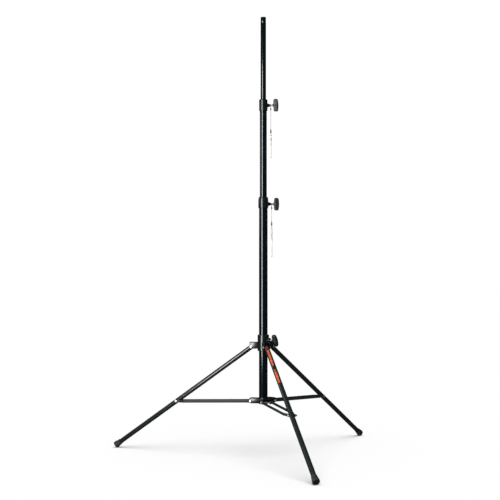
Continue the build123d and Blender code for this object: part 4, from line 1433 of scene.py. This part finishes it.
class STAND_OT_stage(bpy.types.Operator):
    """Pale floor, a white room, soft light and the camera"""

    bl_idname = "stand.stage"
    bl_label = "Stage"

    def execute(self, context):
        scene = bpy.context.scene
        scene.view_settings.view_transform = "Standard"
        studio = settings().studio
        data = bpy.data.cameras.new("camera")
        data.sensor_width = 36.0
        data.lens = CAMERA_LENS
        data.shift_x = CAMERA_SHIFT
        camera = added("camera", data)
        camera.location = CAMERA_PLACE
        camera.rotation_euler = (math.pi / 2 + CAMERA_PITCH, 0.0, -CAMERA_HEADING)
        scene.camera = camera

        floor = begin("floor", bpy.ops.mesh.primitive_plane_add, size=160)
        paint = Finish("Pale floor", Roughness=0.9, Specular_IOR_Level=0.0)
        grain = paint.noise(paint.placed(), 3.0, 4.0)
        white = studio.floor_white
        paint.give({"Base_Color": paint.mixed(grain, (white, white, white, 1), (white * 0.995,) * 3 + (1,))})
        floor.data.materials.append(paint.material)
        floor.visible_glossy = False
        floor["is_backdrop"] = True

        world = bpy.data.worlds.new("room")
        scene.world = world
        world.use_nodes = True
        tree = world.node_tree
        white_room = tree.nodes["Background"]
        white_room.inputs["Color"].default_value = (1, 1, 1, 1)
        white_room.inputs["Strength"].default_value = SKY_WHITE
        path = tree.nodes.new("ShaderNodeLightPath")
        last = white_room
        for ray, strength in (("Is Diffuse Ray", SKY_LIGHT), ("Is Glossy Ray", SHADE_LEVEL)):
            room = tree.nodes.new("ShaderNodeBackground")
            room.inputs["Strength"].default_value = strength
            mix = tree.nodes.new("ShaderNodeMixShader")
            tree.links.new(path.outputs[ray], mix.inputs[0])
            tree.links.new(last.outputs[0], mix.inputs[1])
            tree.links.new(room.outputs[0], mix.inputs[2])
            last = mix
        tree.links.new(last.outputs[0], tree.nodes["World Output"].inputs["Surface"])

        sun_data = bpy.data.lights.new("overhead", "SUN")
        sun_data.energy = SUN_STRENGTH
        sun_data.angle = SUN_ANGLE
        sun = added("overhead", sun_data)
        sun.location = (-0.5, -1.6, 6)
        sun.rotation_euler = facing(-sun.location)
        sun.visible_glossy = False

        lit = bpy.data.collections.new("not_the_floor")
        lit.objects.link(floor)
        lit.collection_objects[0].light_linking.link_state = "EXCLUDE"
        bearing = CAMERA_HEADING + math.pi + SOFTBOX_BEARING
        place = (SOFTBOX_DISTANCE * math.sin(bearing), SOFTBOX_DISTANCE * math.cos(bearing), SOFTBOX_HEIGHT)
        softbox = area_light("softbox", 0.8, 3.55, studio.softbox_power, place, (0, 0, SOFTBOX_HEIGHT))
        rim = area_light("rim", 1.2, 1.2, studio.rim_power, (-2.35, 1.65, 2.3), (-0.4, 0.3, 0.45))
        for light in (softbox, rim):
            light.visible_camera = False
            light.light_linking.receiver_collection = lit
        return {"FINISHED"}


# ---------------------------------------------------------------- the add-on
class STAND_PT_panel(bpy.types.Panel):
    bl_idname = "STAND_PT_panel"
    bl_label = "Lighting stand"
    bl_space_type = "VIEW_3D"
    bl_region_type = "UI"
    bl_category = "Stand"

    def draw(self, context):
        stand = context.scene.lighting_stand
        for group in (stand.finishes, stand.details, stand.studio):
            box = self.layout.box()
            for name in group.__annotations__:
                box.prop(group, name)
        for operator in OPERATORS:
            self.layout.operator(operator.bl_idname)


OPERATORS = (
    STAND_OT_finishes, STAND_OT_stage, STAND_OT_lanyards, STAND_OT_mast, STAND_OT_collars, STAND_OT_clamps,
    STAND_OT_leg_hub, STAND_OT_brace_hub, STAND_OT_legs, STAND_OT_braces, STAND_OT_marks,
    STAND_OT_inner_parts,
)
CLASSES = (StandFinishes, StandDetails, StandStudio, LightingStand, *OPERATORS, STAND_PT_panel)


def register():
    for cls in CLASSES:
        bpy.utils.register_class(cls)
    bpy.types.Scene.lighting_stand = bpy.props.PointerProperty(type=LightingStand)


def unregister():
    del bpy.types.Scene.lighting_stand
    for cls in reversed(CLASSES):
        bpy.utils.unregister_class(cls)


def main():
    register()
    for operator in OPERATORS:  # in the order in which they build on each other
        getattr(bpy.ops.stand, operator.bl_idname.partition(".")[2])()
    boxes = {"cad": cad_box, "visual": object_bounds()}
    {name: [list(corner) for corner in corners] for name, corners in boxes.items()}


if __name__ == "__main__":
    main()
